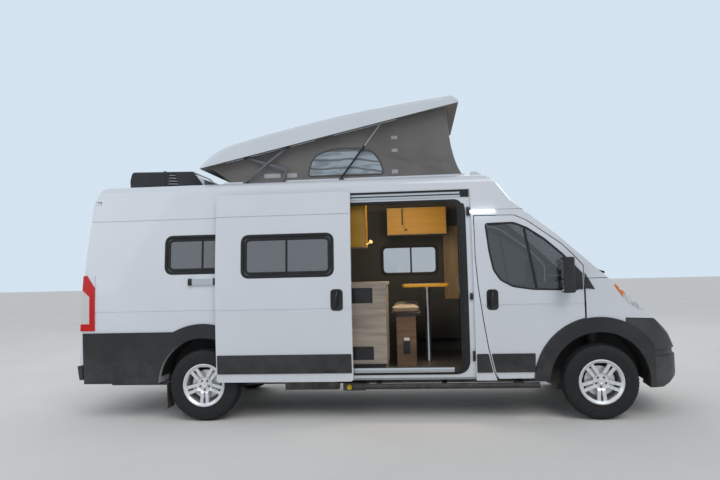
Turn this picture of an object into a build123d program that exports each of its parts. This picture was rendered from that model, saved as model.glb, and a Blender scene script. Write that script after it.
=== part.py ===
"""Camper van: an extended high-roof panel van with a raised pop-up roof and its sliding door open.

Millimetres. +X is forward, +Y is the driver's side (left), +Z is up. The origin is on the ground,
midway along the length and on the centre plane.
"""

from build123d import *
from math import atan2, cos, degrees, hypot, pi, radians, sin, sqrt, tan
import os

os.makedirs("parts", exist_ok=True)

# Whole vehicle
length = 6363.0
wheelbase = 4035.0
front_overhang = 948.0
roof_height = 2524.0
front_track = 1810.0
rear_track = 1784.0

# Wheels
tyre_radius = 372.0
tyre_width = 225.0
rim_lip_radius = 222.0
rim_well_radius = 190.0
spoke_pairs = 5

# Body shell
wall = 60.0
roof_wall = 40.0
front_wall = 30.0
cladding_proud = 14.0
sill_z = 395.0
sill_half = 985.0
waist_z = 1050.0
waist_half = 1014.0
seam_z = 2400.0
seam_half = 892.0
roof_edge_half = 790.0
roof_edge_drop = 22.0
gap = 9.0
step_in = 14.0
glass_thickness = 6.0
glass_inset = 8.0

# Axles and ends
nose_x = length / 2
tail_x = -length / 2
front_axle_x = nose_x - front_overhang
rear_axle_x = front_axle_x - wheelbase
hub_z = tyre_radius
arch_radius = 492.0
flare_radius = 640.0

# The windscreen and the bumper are surfaces of revolution about upright axes: one well behind, and a
# nearer one that rounds the front. The hood is crowned about a lengthwise axis far below it. All three
# profiles are taken on the centre plane.
screen_axis_x = -1500.0
bumper_axis_x = 1014.0
hood_crown_radius = 3490.0
overlap = 400.0
roof_front_x = 1310.0
header_x = 1540.0
header_z = 2228.0
scuttle_x = 2440.0
scuttle_z = 1421.0
hood_lip_z = 1032.0
bumper_low_z = 300.0
screen_profile = [
    (scuttle_x, scuttle_z),
    (2010, 1832),
    (header_x, header_z),
    (1415, 2405),
    (roof_front_x, 2492),
]
hood_profile = [(scuttle_x, scuttle_z), (2600, 1365), (2678, 1325), (2842, 1180), (2933, 1090), (3300, 660)]
bumper_profile = [
    (3060, bumper_low_z),
    (3110, 332),
    (3160, 390),
    (nose_x, 470),
    (nose_x, 590),
    (3150, 700),
    (3115, 800),
    (3075, 870),
    (3045, 920),
    (3020, 962),
    (2978, 1020),
    (2945, 1065),
    (2878, 1145),
    (2810, 1230),
    (2775, 1275),
    (2750, 1320),
    (2735, 1370),
]
form_margin = 20.0
chin_rear_x = 2500.0
chin_back = 350.0
screen_run = 1137.0
forehead_run = 150.0

# Rear profile: (distance ahead of the tail, height)
rear_profile = [
    (60, sill_z),
    (36, 600),
    (60, 940),
    (96, 1620),
    (156, 2315),
    (225, 2470),
    (330, roof_height + form_margin),
]

# Plan: the rear corner as (distance ahead of the tail, distance in from the side), and the nose as
# (x, y, share of an inset taken off x, share taken off y)
rear_corner = [(4, 90), (30, 26), (100, 0)]
bow_from_x = 1700.0
nose_plan = [
    (2350, 1000, 0.1, 1.0),
    (2820, 900, 0.3, 0.95),
    (2975, 795, 0.65, 0.75),
    (3075, 620, 0.9, 0.4),
]

# Section: the roof's shoulder, in from the seam and down from the roof
shoulder_in = 32.0
shoulder_drop = 56.0
shoulder_share = 0.7

# Sliding door, passenger side
slide_rear_x = -405.0
slide_front_x = 1008.0
slide_low_z = 412.0
slide_top_z = 2352.0
slide_travel = 1228.0
slide_out = 88.0
door_step = 70.0

# Front doors
door_rear_top_x = 1046.0
door_front_x = 2096.0
door_low_z = 412.0
door_top_z = 2056.0

# Rear doors
rear_door_low_z = 605.0
rear_door_top_z = 2330.0
rear_door_half = 900.0
rear_door_split = 11.0

# Pop-up roof: a hollow lid that stands open at rest. It turns about a pole behind it, which carries it
# from its closed place on the roof to its open one, as its two crossing arms a side do.
pop_rear_x = -1874.0
pop_length = 2870.0
pop_half = 840.0
pop_closed_z = 2532.0
pop_angle = 12.0
pop_rise = 143.0
pop_skin = 24.0
pop_flange = 12.0
pole_x = pop_rear_x - pop_rise / (2 * tan(radians(pop_angle / 2)))
pole_z = pop_closed_z + pop_rise / 2
hatch_rear_x = -1330.0
hatch_front_x = 800.0
hatch_half = 600.0
base_half = 742.0
base_rear_x = -1640.0
base_front_x = 985.0
base_top_z = 2526.0
canvas_half = 726.0
canvas_thickness = 6.0

pieces = []


def keep(solid, name):
    """Label a finished piece and write it to its own file."""
    solid.label = name
    export_step(solid, f"parts/{name}.step")
    pieces.append(name)


def side_prism(points, y_from, y_to, corner=0.0, grow=0.0):
    """An outline drawn in side view, grown if asked, carried from y_from to y_to."""
    with BuildPart() as prism:
        with BuildSketch(Plane.XZ.offset(-y_from)) as outline:
            Polygon(*points, align=None)
            if grow:
                offset(amount=grow, kind=Kind.INTERSECTION)
            if corner:
                fillet(outline.vertices(), corner)
        extrude(amount=y_from - y_to)
    return prism.part


def plan_prism(points, z_from, z_to, corner=0.0):
    """An outline drawn from above, carried from z_from to z_to."""
    with BuildPart() as prism:
        with BuildSketch(Plane.XY.offset(z_from)) as outline:
            Polygon(*points, align=None)
            if corner:
                fillet(outline.vertices(), corner)
        extrude(amount=z_to - z_from)
    return prism.part


def front_prism(points, x_from, x_to, corner=0.0, grow=0.0):
    """An outline of (y, z) points drawn from the front, grown if asked, carried from x_from to x_to."""
    with BuildPart() as prism:
        with BuildSketch(Plane.YZ.offset(x_from)) as outline:
            Polygon(*points, align=None)
            if grow:
                offset(amount=grow, kind=Kind.INTERSECTION)
            if corner:
                fillet(outline.vertices(), corner)
        extrude(amount=x_to - x_from)
    return prism.part


def block(x_from, x_to, y_from, y_to, z_from, z_to):
    """A plain block between two corners."""
    y_low, y_high = sorted((y_from, y_to))
    return plan_prism([(x_from, y_low), (x_to, y_low), (x_to, y_high), (x_from, y_high)], z_from, z_to)


def cylinder_y(x, z, radius, y_from, y_to):
    """A round bar across the vehicle."""
    with BuildPart() as bar:
        with BuildSketch(Plane.XZ.offset(-y_from)):
            with Locations((x, z)):
                Circle(radius)
        extrude(amount=y_from - y_to)
    return bar.part


def cylinder_z(x, y, radius, z_from, z_to):
    """An upright round bar."""
    with BuildPart() as bar:
        with BuildSketch(Plane.XY.offset(z_from)):
            with Locations((x, y)):
                Circle(radius)
        extrude(amount=z_to - z_from)
    return bar.part


def trim(start, region, cuts=(), extras=()):
    """The part of a solid inside a region, less some cutters, with some solids joined."""
    with BuildPart() as piece:
        add(start)
        add(region, mode=Mode.INTERSECT)
        for cut in cuts:
            add(cut, mode=Mode.SUBTRACT)
        for extra in extras:
            add(extra)
    return piece.part


def joined(*solids):
    """Several solids as one piece."""
    with BuildPart() as piece:
        for solid in solids:
            add(solid)
    return piece.part


def less(start, *cuts):
    """A solid less some cutters."""
    with BuildPart() as piece:
        add(start)
        for cut in cuts:
            add(cut, mode=Mode.SUBTRACT)
    return piece.part


crown_arc = 60.0


def body_form(inset):
    """The closed outer form of the van, moved inwards by inset."""
    rear_points = [
        (screen_axis_x + overlap, sill_z),
        *[(tail_x + run, z) for run, z in rear_profile],
        (screen_axis_x + overlap, roof_height + form_margin),
    ]
    high_z = roof_height + form_margin
    screen_points = [
        (screen_axis_x - overlap, sill_z),
        (chin_rear_x, sill_z),
        (nose_x - chin_back, bumper_low_z),
        (scuttle_x + screen_run, bumper_low_z),
        *screen_profile,
        (roof_front_x - forehead_run, high_z),
        (screen_axis_x - overlap, high_z),
    ]
    far_x = nose_x + 2 * overlap
    far_z = roof_height + overlap
    ahead_points = [
        (bumper_profile[0][0], 0),
        *bumper_profile,
        (bumper_profile[-1][0], far_z),
        (far_x, far_z),
        (far_x, 0),
    ]
    waist = waist_half + 6 - inset
    corner_points = [(tail_x + inset + run, waist - side_in) for run, side_in in rear_corner]
    nose_points = [(x - share_x * inset, y - share_y * inset) for x, y, share_x, share_y in nose_plan]
    above_points = [*hood_profile, (hood_profile[-1][0], far_z), (scuttle_x, far_z)]
    crown_z = scuttle_z - hood_crown_radius
    low_z = bumper_low_z - 2 * cladding_proud
    with BuildPart() as nose:
        with BuildSketch(Plane(origin=(screen_axis_x, 0, 0), x_dir=(0, -1, 0), z_dir=(-1, 0, 0))):
            Polygon(*[(x - screen_axis_x, z) for x, z in screen_points], align=None)
            if inset:
                offset(amount=-inset, kind=Kind.INTERSECTION)
            with Locations((length, roof_height / 2)):
                Rectangle(2 * length, 2 * roof_height, mode=Mode.INTERSECT)
        revolve(axis=Axis((screen_axis_x, 0, 0), (0, 0, 1)), revolution_arc=180)
    with BuildPart() as ahead:
        with BuildSketch(Plane(origin=(bumper_axis_x, 0, 0), x_dir=(0, -1, 0), z_dir=(-1, 0, 0))):
            Polygon(*[(x - bumper_axis_x, z) for x, z in ahead_points], align=None)
            if inset:
                offset(amount=inset, kind=Kind.INTERSECTION)
        revolve(axis=Axis((bumper_axis_x, 0, 0), (0, 0, 1)), revolution_arc=180)
    with BuildPart() as above:
        with BuildSketch(Plane.XZ):
            Polygon(*above_points, align=None)
            if inset:
                offset(amount=inset, kind=Kind.INTERSECTION)
        revolve(axis=Axis((0, 0, crown_z), (1, 0, 0)), revolution_arc=crown_arc)
    crown = above.part.rotate(Axis((0, 0, crown_z), (1, 0, 0)), -crown_arc / 2)
    with BuildPart() as section:
        with BuildSketch(Plane.YZ.offset(tail_x - overlap)):
            with BuildLine():
                side = ThreePointArc(
                    (sill_half - inset, sill_z + inset),
                    (waist_half - inset, waist_z),
                    (seam_half - inset, seam_z),
                )
                edge = ThreePointArc(
                    side @ 1,
                    (
                        seam_half - shoulder_in - shoulder_share * inset,
                        roof_height - shoulder_drop - shoulder_share * inset,
                    ),
                    (roof_edge_half - 0.5 * inset, roof_height - roof_edge_drop - inset),
                )
                Line(edge @ 1, (0, roof_height - inset))
                mirror(about=Plane.YZ)
                Polyline(
                    side @ 0,
                    (sill_half - inset, low_z),
                    (inset - sill_half, low_z),
                    (inset - sill_half, sill_z + inset),
                )
            make_face()
        extrude(amount=length + 2 * overlap)
    with BuildPart() as plan:
        with BuildSketch(Plane.XY):
            with BuildLine():
                Line((tail_x + inset, 0), corner_points[0])
                corner = ThreePointArc(*corner_points)
                Line(corner @ 1, (bow_from_x, waist))
                bow = ThreePointArc((bow_from_x, waist), *nose_points[:2])
                turn = ThreePointArc(bow @ 1, *nose_points[2:])
                Line(turn @ 1, (nose_x + 10 - inset, 0))
                mirror(about=Plane.XZ)
            make_face()
        extrude(amount=roof_height + overlap)
    with BuildPart() as form:
        with BuildSketch(Plane.XZ):
            Polygon(*rear_points, align=None)
            if inset:
                offset(amount=-inset, kind=Kind.INTERSECTION)
        extrude(amount=2 * waist_half, both=True)
        add(nose.part)
        add(plan.part, mode=Mode.INTERSECT)
        add(section.part, mode=Mode.INTERSECT)
        add(ahead.part, mode=Mode.SUBTRACT)
        add(crown, mode=Mode.SUBTRACT)
    return form.part


def shell(outset, inset):
    """The skin between two offsets of the body form."""
    return less(body_form(outset), body_form(inset))


# Skins of the real thicknesses, from which the panels are cut
outer_form = body_form(0)
skin = less(outer_form, body_form(wall))
thin_skin = less(outer_form, body_form(front_wall))
roof_skin = less(outer_form, body_form(roof_wall))
cladding_skin = less(body_form(-cladding_proud), outer_form)
glass_skin = shell(glass_inset, glass_inset + glass_thickness)

far = 1300.0
high = roof_height + 100
split_half = 700.0
right = (-far, -split_half)
left = (split_half, far)
side_near = 800.0
slide_near = 820.0
arch_reach = 540.0
window_corner = 60.0
door_window_corner = 45.0


def arch_cut(x, radius, y_from, y_to):
    """A round arch about an axle."""
    return cylinder_y(x, hub_z, radius, y_from, y_to)


# Outlines in side view
fender_seam_x = door_front_x + gap
door_outline = [
    (1242, door_low_z),
    (1200, 483),
    (1149, 723),
    (1107, 999),
    (1066, 1329),
    (door_rear_top_x, 1642),
    (door_rear_top_x, door_top_z),
    (1449, door_top_z - 6),
    (1568, 1994),
    (1903, 1742),
    (2000, 1640),
    (door_front_x, 1525),
    (door_front_x, door_low_z),
]
door_window = [
    (1155, 1972),
    (1440, 1976),
    (1567, 1920),
    (1734, 1803),
    (1898, 1652),
    (2036, 1502),
    (2040, 1284),
    (1604, 1299),
    (1402, 1332),
    (1284, 1400),
    (1219, 1502),
    (1183, 1691),
]
door_opening = [*door_outline[1:-1], (door_front_x, door_low_z - wall), (1250, door_low_z - wall)]
slide_outline = [
    (slide_rear_x, slide_low_z),
    (slide_front_x, slide_low_z),
    (slide_front_x, slide_top_z),
    (slide_rear_x, slide_top_z),
]
slide_hole = [
    (slide_rear_x - gap, slide_low_z - wall),
    (slide_front_x + gap, slide_low_z - wall),
    (slide_front_x + gap, slide_top_z + gap),
    (slide_rear_x - gap, slide_top_z + gap),
]
track_depth = 110.0
doorway_corner = 90.0
clear_hole = [
    (slide_rear_x + door_step, sill_z + door_step),
    (slide_front_x - door_step, sill_z + door_step),
    (slide_front_x - door_step, slide_top_z - track_depth),
    (slide_rear_x + door_step, slide_top_z - track_depth),
]
quarter_window = [(-2195, 1545), (-1290, 1545), (-1290, 1930), (-2195, 1930)]
slide_window = [(-120, 1487), (822, 1487), (822, 1910), (-120, 1910)]
far_window = [(-10, 1470), (710, 1470), (710, 1830), (-10, 1830)]

# Windscreen, drawn from the front
screen_low_half = 900.0
screen_top_half = 790.0
screen_low_z = scuttle_z + 12
screen_top_z = header_z - 14
screen = [
    (-screen_low_half, screen_low_z),
    (screen_low_half, screen_low_z),
    (screen_top_half, screen_top_z),
    (-screen_top_half, screen_top_z),
]
screen_cut = front_prism(screen, header_x - 350, scuttle_x + 100, 60)

# Side walls
wall_outline = [
    (tail_x + 30, rear_door_low_z),
    (tail_x + 30, seam_z),
    (scuttle_x + 60, seam_z),
    (scuttle_x + 60, scuttle_z - 20),
    (fender_seam_x, scuttle_z - 20),
    (fender_seam_x, sill_z - 100),
    (tail_x + 260, sill_z - 100),
    (tail_x + 260, rear_door_low_z),
]
rear_door_hole = front_prism(
    [
        (-rear_door_half - gap, rear_door_low_z - gap),
        (rear_door_half + gap, rear_door_low_z - gap),
        (rear_door_half + gap, rear_door_top_z + gap),
        (-rear_door_half - gap, rear_door_top_z + gap),
    ],
    tail_x - 100,
    tail_x + 240,
)
arch_cuts = [
    arch_cut(x, arch_radius, side * arch_reach, side * far)
    for x in (front_axle_x, rear_axle_x)
    for side in (-1, 1)
]
door_flare_cut = arch_cut(front_axle_x, flare_radius + gap, -far, far)
inner_flare_cut = arch_cut(front_axle_x, flare_radius + gap + step_in, -far, far)

# A swage line and a gutter band, pressed into every panel of the sides
swage_depth = 5.0
swage_bands = [(1124, 1154), (2070, 2122)]
swage_cut = less(
    joined(*[block(tail_x + 120, fender_seam_x - gap, -far, far, low, top) for low, top in swage_bands]),
    body_form(swage_depth),
    block(-length, length, -split_half, split_half, 0, high),
)
outer_half_cut = less(block(-3000, 1100, -far, -900, 300, high), body_form(wall / 2))
side_right = trim(
    skin,
    side_prism(wall_outline, *right),
    [
        less(side_prism(door_opening, -far, -side_near, 0, gap), arch_cut(front_axle_x, flare_radius, -far, far)),
        side_prism(clear_hole, -far, -side_near, doorway_corner),
        trim(side_prism(slide_hole, -far, -side_near), outer_half_cut),
        side_prism(quarter_window, -far, -side_near, window_corner),
        screen_cut,
        rear_door_hole,
        swage_cut,
        *arch_cuts,
    ],
)
side_left = trim(
    skin,
    side_prism(wall_outline, *left),
    [
        less(side_prism(door_opening, side_near, far, 0, gap), arch_cut(front_axle_x, flare_radius, -far, far)),
        side_prism(quarter_window, side_near, far, window_corner),
        side_prism(far_window, side_near, far, window_corner),
        screen_cut,
        rear_door_hole,
        swage_cut,
        *arch_cuts,
    ],
)
keep(side_right, "side_wall_right")
keep(side_left, "side_wall_left")

# Roof panel, with the hatch under the pop-up roof, and the forehead down to the windscreen
roof_region = joined(
    block(tail_x, nose_x, -far, far, seam_z, high),
    block(tail_x, nose_x, -split_half, split_half, screen_top_z, high),
)
hatch = plan_prism(
    [
        (hatch_rear_x, -hatch_half),
        (hatch_front_x, -hatch_half),
        (hatch_front_x, hatch_half),
        (hatch_rear_x, hatch_half),
    ],
    seam_z - 100,
    high,
    60,
)
roof = trim(roof_skin, roof_region, [hatch, screen_cut, rear_door_hole])
keep(roof, "roof")

# Floor, wheel housings and frame rails
floor_front_x = 1735.0
floor_low_z = sill_z + front_wall + 4
housing_wall = 12.0
housing_half = 560.0
rail_half = 400.0
rail_width = 80.0
rail_low_z = 290.0
jack_xs = (-900.0, 1500.0)
jack_pad_half = 45.0
jack_pad_depth = 12.0
crossmember_xs = (-2900, -2350, -1250, -500, 300, 1100, 1650)
crossmember_width = 60.0
crossmember_low_z = rail_low_z + 20
footwell_front_x = 2100.0
rail_front_x = 2700.0
inside_form = body_form(front_wall + 4)


def housing(axle_x, side):
    """One wheel housing: a half drum over the wheel, closed towards the middle of the van."""
    return less(
        arch_cut(axle_x, arch_radius + housing_wall, side * housing_half, side * 945),
        arch_cut(axle_x, arch_radius, side * (housing_half + housing_wall), side * far),
    )


housing_rooms = [
    arch_cut(x, arch_radius + housing_wall, side * housing_half, side * far)
    for x in (front_axle_x, rear_axle_x)
    for side in (-1, 1)
]
with BuildPart() as floor:
    add(block(tail_x + 110, floor_front_x, -split_half, split_half, floor_low_z, sill_z + wall))
    add(
        block(
            floor_front_x,
            footwell_front_x,
            -housing_half + 20,
            housing_half - 20,
            floor_low_z,
            sill_z + wall,
        )
    )
    add(inside_form, mode=Mode.INTERSECT)
    for side in (-1, 1):
        rail_far = rail_half + rail_width
        add(block(tail_x + 130, rail_front_x, side * rail_half, side * rail_far, rail_low_z, floor_low_z))
        for x in jack_xs:
            add(
                block(
                    x - jack_pad_half,
                    x + jack_pad_half,
                    side * rail_half,
                    side * (rail_half + rail_width),
                    rail_low_z - jack_pad_depth,
                    rail_low_z,
                )
            )
    for x in crossmember_xs:
        add(block(x, x + crossmember_width, -rail_half, rail_half, crossmember_low_z, floor_low_z))
floor_part = less(floor.part, side_right, side_left, *housing_rooms)
keep(floor_part, "floor")
housings_rear = trim(
    joined(housing(rear_axle_x, -1), housing(rear_axle_x, 1)),
    inside_form,
    [side_right, side_left],
)
keep(housings_rear, "wheel_housings_rear")


# Hood, headlamps, bumper and grille
hood_rear_half = 725.0
hood_front_half = 632.0
hood_gap = 12.0
hood_rear_x = scuttle_x + 22
hood_top_z = scuttle_z + 60
hood_low_z = hood_lip_z - 6


def hood_block(rear_x, low_z, grow):
    """The room of the hood seen from above, wider by grow at each side."""
    return plan_prism(
        [
            (rear_x, -hood_rear_half - grow),
            (nose_x, -hood_front_half - grow),
            (nose_x, hood_front_half + grow),
            (rear_x, hood_rear_half + grow),
        ],
        low_z,
        hood_top_z,
    )


hood_region = hood_block(hood_rear_x, hood_low_z, 0)
hood_hole = hood_block(hood_rear_x - gap, hood_low_z - gap, hood_gap)
hood_part = trim(thin_skin, hood_region)
keep(hood_part, "hood")

lamp_side_points = [
    (2395, 1420),
    (2395, 1312),
    (2452, 1232),
    (2513, 1176),
    (2648, 1078),
    (2802, 1012),
    (nose_x, 986),
    (nose_x, 1420),
]
lamp_plan_points = [(2380, 905), (2480, 862), (2640, 790), (2900, 676), (nose_x, 676), (nose_x, far), (2380, far)]
lamp_rooms = [
    trim(
        side_prism(lamp_side_points, side * housing_half, side * far),
        plan_prism([(x, side * y) for x, y in lamp_plan_points], bumper_low_z, hood_top_z),
    )
    for side in (-1, 1)
]
lamps = joined(*[trim(skin, room, [hood_hole]) for room in lamp_rooms])
keep(lamps, "headlamps")

bumper_rear_x = 2500.0
bumper_top = [(bumper_rear_x, 994), (2860, 974), (nose_x + 60, 956)]
bumper_outline = [*bumper_top, (nose_x + 60, 250), (bumper_rear_x, 250)]
bumper_seam = 6.0
groove_rear_x = 2790.0
groove_low_z = 600.0
groove_top_z = 672.0
groove_depth = 22.0
step_groove = less(
    block(groove_rear_x, nose_x + 60, -far, far, groove_low_z, groove_top_z),
    body_form(groove_depth),
)
grille_half = 590.0
grille_low_z = 690.0
grille_top_z = 905.0
intake_low_z = 400.0
intake_top_z = 520.0
grille_flare = 60.0
grille_rear_x = 2800.0
intake_rear_x = 2900.0
intake_taper = 30.0
grille_hole = front_prism(
    [
        (-grille_half, grille_low_z),
        (grille_half, grille_low_z),
        (grille_half + grille_flare, grille_top_z),
        (-grille_half - grille_flare, grille_top_z),
    ],
    grille_rear_x,
    nose_x + 100,
    30,
)
intake_hole = front_prism(
    [
        (-grille_half, intake_low_z),
        (grille_half, intake_low_z),
        (grille_half - intake_taper, intake_top_z),
        (intake_taper - grille_half, intake_top_z),
    ],
    intake_rear_x,
    nose_x + 100,
    20,
)
front_arches = [arch_cut(front_axle_x, arch_radius, side * arch_reach, side * far) for side in (-1, 1)]
bumper_front = trim(
    thin_skin,
    side_prism(bumper_outline, -far, far),
    [grille_hole, intake_hole, step_groove, block(2000, nose_x - 120, -700, 700, 200, 440), *front_arches],
)
keep(bumper_front, "bumper_front")

slat_count = 5
slat_half = 12.0
rib_half = 8.0
rib_ys = (-400, -200, 0, 200, 400)
intake_bars = 2
intake_pitch = (intake_top_z - intake_low_z) / (intake_bars + 1)
upper_bar_half = 500.0
upper_bar_low_z = 978.0
grille_skin = shell(4, 34)
slats = []
for index in range(slat_count):
    z = grille_low_z + (index + 0.5) * (grille_top_z - grille_low_z) / slat_count
    slat_reach = grille_half + grille_flare
    slats.append(block(grille_rear_x, nose_x, -slat_reach, slat_reach, z - slat_half, z + slat_half))
for y in rib_ys:
    slats.append(block(grille_rear_x, nose_x, y - rib_half, y + rib_half, grille_low_z, grille_top_z))
for index in range(intake_bars):
    z = intake_low_z + intake_pitch * (index + 1)
    slats.append(block(intake_rear_x, nose_x, -grille_half, grille_half, z - rib_half, z + rib_half))
slats.append(block(intake_rear_x, nose_x, -rib_half, rib_half, intake_low_z, intake_top_z))
grille = trim(
    grille_skin,
    joined(
        trim(grille_hole, joined(*slats)),
        trim(intake_hole, joined(*slats)),
        block(grille_rear_x, nose_x, -upper_bar_half, upper_bar_half, upper_bar_low_z, hood_low_z - gap),
    ),
)
keep(grille, "grille")

# Fenders, firewall, scuttle and the front wheel housings
fender_inner_half = 520.0
fender_region = less(
    block(fender_seam_x + gap, nose_x, -far, far, sill_z - 100, scuttle_z - 26),
    side_prism(
        [
            (bumper_rear_x - bumper_seam, bumper_top[0][1] + bumper_seam),
            *[(x, z + bumper_seam) for x, z in bumper_top[1:]],
            (nose_x + 60, 200),
            (bumper_rear_x - bumper_seam, 200),
        ],
        -far,
        far,
    ),
    *lamp_rooms,
    hood_hole,
    block(2000, nose_x, -fender_inner_half, fender_inner_half, 0, high),
    *front_arches,
)
fenders = trim(thin_skin, fender_region)
keep(fenders, "fenders")

firewall_points = [
    (floor_front_x, sill_z + wall),
    (floor_front_x + 380, sill_z + wall),
    (2130, 700),
    (2160, 1300),
    (scuttle_x - 30, scuttle_z - 60),
    (scuttle_x - 30, scuttle_z - 30),
    (2130, 1330),
    (2100, 720),
    (2060, sill_z + wall + 30),
    (floor_front_x, sill_z + wall + 30),
]
firewall = trim(
    side_prism(firewall_points, -880, 880),
    inside_form,
    [*housing_rooms, lamps, side_right, side_left, hood_hole, floor_part],
)
scuttle = trim(
    thin_skin,
    block(scuttle_x - 200, hood_rear_x - gap, -870, 870, scuttle_z - 140, scuttle_z + 6),
    [side_right, side_left, fenders, firewall],
)
firewall_part = joined(firewall, scuttle)
keep(firewall_part, "firewall")
housings_front = trim(
    joined(housing(front_axle_x, -1), housing(front_axle_x, 1)),
    inside_form,
    [lamps, side_right, side_left, hood_hole],
)
keep(housings_front, "wheel_housings_front")


# Lower cladding with the arch flares, dark strips along the sills
side_far = 1400.0
strip_low_z = 490.0
strip_top_z = 662.0
cladding_top_z = 931.0


def flare(axle_x):
    """The wide ring of a wheel-arch flare, cut flat at the sill."""
    return less(
        arch_cut(axle_x, flare_radius, -side_far, side_far),
        arch_cut(axle_x, arch_radius, -side_far, side_far),
        block(-far * 3, far * 3, -side_far, side_far, -400, sill_z - 90),
    )


rear_cladding = side_prism(
    [
        (tail_x + 80, sill_z),
        (rear_axle_x - 300, sill_z),
        (rear_axle_x - 300, cladding_top_z),
        (tail_x + 80, cladding_top_z),
    ],
    -side_far,
    side_far,
)
strip_rear_x = rear_axle_x + 500
cladding_region = less(
    joined(
        flare(front_axle_x),
        flare(rear_axle_x),
        less(rear_cladding, arch_cut(rear_axle_x, arch_radius, -far, far)),
        block(strip_rear_x, slide_rear_x - gap, -side_far, 0, strip_low_z, strip_top_z),
        block(strip_rear_x, slide_front_x, 0, side_far, strip_low_z, strip_top_z),
    ),
    block(-far * 3, far * 3, -870, 870, -100, high),
    block(nose_x - 400, nose_x + 100, -far, far, 0, high),
)
corner_cover = [(fender_seam_x + 6, 1296), (2200, 1288), (fender_seam_x + 6, 1452)]
corner_covers = trim(less(body_form(-8), outer_form), side_prism(corner_cover, -far, far))
cladding = joined(trim(cladding_skin, cladding_region), corner_covers)
keep(cladding, "cladding")

# The doors end above the sill's underside, so its inward return is cut from them
lip_cut = block(-length, length, front_wall - sill_half, sill_half - front_wall, 0, sill_z + front_wall + 2)
plate_cut = block(-length, length, wall - sill_half, sill_half - wall, 0, sill_z + wall + 1)

# Front doors with their glass
for side, name in ((-1, "passenger"), (1, "driver")):
    y_near, y_far = side * side_near, side * far
    window_cut = side_prism(door_window, y_near, y_far, door_window_corner)
    door_cuts = [window_cut, door_flare_cut, lip_cut, plate_cut, swage_cut]
    door = joined(
        trim(thin_skin, side_prism(door_outline, y_near, y_far), door_cuts),
        trim(skin, side_prism(door_outline, y_near, y_far, 0, -step_in), [*door_cuts, inner_flare_cut]),
    )
    keep(door, f"{name}_door")
    pane = trim(glass_skin, window_cut)
    keep(pane, f"{name}_door_glass")

# Sliding door, moved back along its rails as it stands in the photo
slide_move = Location((-slide_travel, -slide_out, 0))
slide_corner = 30.0
slide_window_cut = side_prism(slide_window, -far, -slide_near, window_corner)
slide_door = trim(
    skin,
    side_prism(slide_outline, -far, -slide_near, slide_corner),
    [slide_window_cut, plate_cut, swage_cut],
)
slide_pane = trim(glass_skin, slide_window_cut)
slide_door = slide_door.moved(slide_move)
slide_pane = slide_pane.moved(slide_move)
keep(slide_door, "sliding_door")

# Rails that carry the sliding door and its three hanger arms
rail_z = 1450.0
rail_from_x = -1945.0
rail_to_x = slide_rear_x - gap
rail_half_height = 32.0
rail_outer_y = -1027.0
slot_from_y = -1023.0
slot_to_y = -1013.0
slot_half_height = 12.0
track_from_y = -905.0
track_to_y = -870.0
track_height = 20.0
track_top_zs = (slide_top_z - 14, slide_top_z - 70)
with BuildPart() as rails:
    add(
        less(
            block(rail_from_x, rail_to_x, rail_outer_y, track_from_y, rail_z - rail_half_height, rail_z + rail_half_height),
            outer_form,
            block(
                rail_from_x + slot_half_height,
                rail_to_x - slot_half_height,
                slot_from_y,
                slot_to_y,
                rail_z - slot_half_height,
                rail_z + slot_half_height,
            ),
        )
    )
    for top_z in track_top_zs:
        add(block(slide_rear_x + 20, slide_front_x - 20, track_from_y, track_to_y, top_z - track_height, top_z))
rails_part = less(rails.part, side_right)
keep(rails_part, "door_rails")

# Rear doors with their glass
rear_window = [(90, 1500), (rear_door_half - 110, 1500), (rear_door_half - 130, 2080), (90, 2080)]
for side, name in ((-1, "right"), (1, "left")):
    outline = [(side * y, z) for y, z in [
        (rear_door_split / 2, rear_door_low_z),
        (rear_door_half, rear_door_low_z),
        (rear_door_half, rear_door_top_z),
        (rear_door_split / 2, rear_door_top_z),
    ]]
    window = front_prism([(side * y, z) for y, z in rear_window], tail_x - 100, tail_x + 300, 60)
    leaf = joined(
        trim(thin_skin, front_prism(outline, tail_x - 100, tail_x + 230), [window]),
        trim(skin, front_prism(outline, tail_x - 100, tail_x + 230, 0, -step_in), [window]),
    )
    leaf_pane = trim(glass_skin, window)
    keep(leaf, f"rear_door_{name}")
    keep(leaf_pane, f"rear_door_{name}_glass")

# Windscreen and fixed side windows
fixed_panes = joined(
    trim(glass_skin, screen_cut),
    slide_pane,
    trim(glass_skin, side_prism(quarter_window, -far, -side_near, window_corner)),
    trim(glass_skin, side_prism(quarter_window, side_near, far, window_corner)),
    trim(glass_skin, side_prism(far_window, side_near, far, window_corner)),
)
keep(fixed_panes, "fixed_glass")

# Rear bumper with its step, tail lamps
bumper_rear_top_z = rear_door_low_z - 2 * gap
bumper_rear = trim(
    less(body_form(-20), body_form(wall)),
    block(tail_x - 100, tail_x + 70, -far, far, 440, bumper_rear_top_z),
    [],
    [
        plan_prism(
            [(tail_x + 45, -740), (tail_x + 45, 740), (tail_x, 600), (tail_x, -600)],
            bumper_rear_top_z - 70,
            bumper_rear_top_z,
        )
    ],
)
keep(bumper_rear, "bumper_rear")
tail_lamp_low_z = 956.0
tail_lamp_top_z = 1542.0
tail_lamp_front_x = tail_x + 210
tail_lamp_inner = rear_door_half + 20
tail_lamp_proud = 9.0
tail_lamps = less(
    trim(
        less(body_form(-tail_lamp_proud), outer_form),
        block(tail_x - 50, tail_lamp_front_x, -far, far, tail_lamp_low_z, tail_lamp_top_z),
    ),
    block(tail_x - 50, tail_lamp_front_x, -tail_lamp_inner, tail_lamp_inner, 0, high),
)
keep(tail_lamps, "tail_lamps")


# Wheels: a hollow tyre, and a rim with five pairs of spokes, a hub and a brake disc
half_tyre = tyre_width / 2
kingpin_inset = 70.0
pin_radius = 12.0
pin_clearance = 0.08
barrel_half = 92.0
face_y = 84.0


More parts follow.
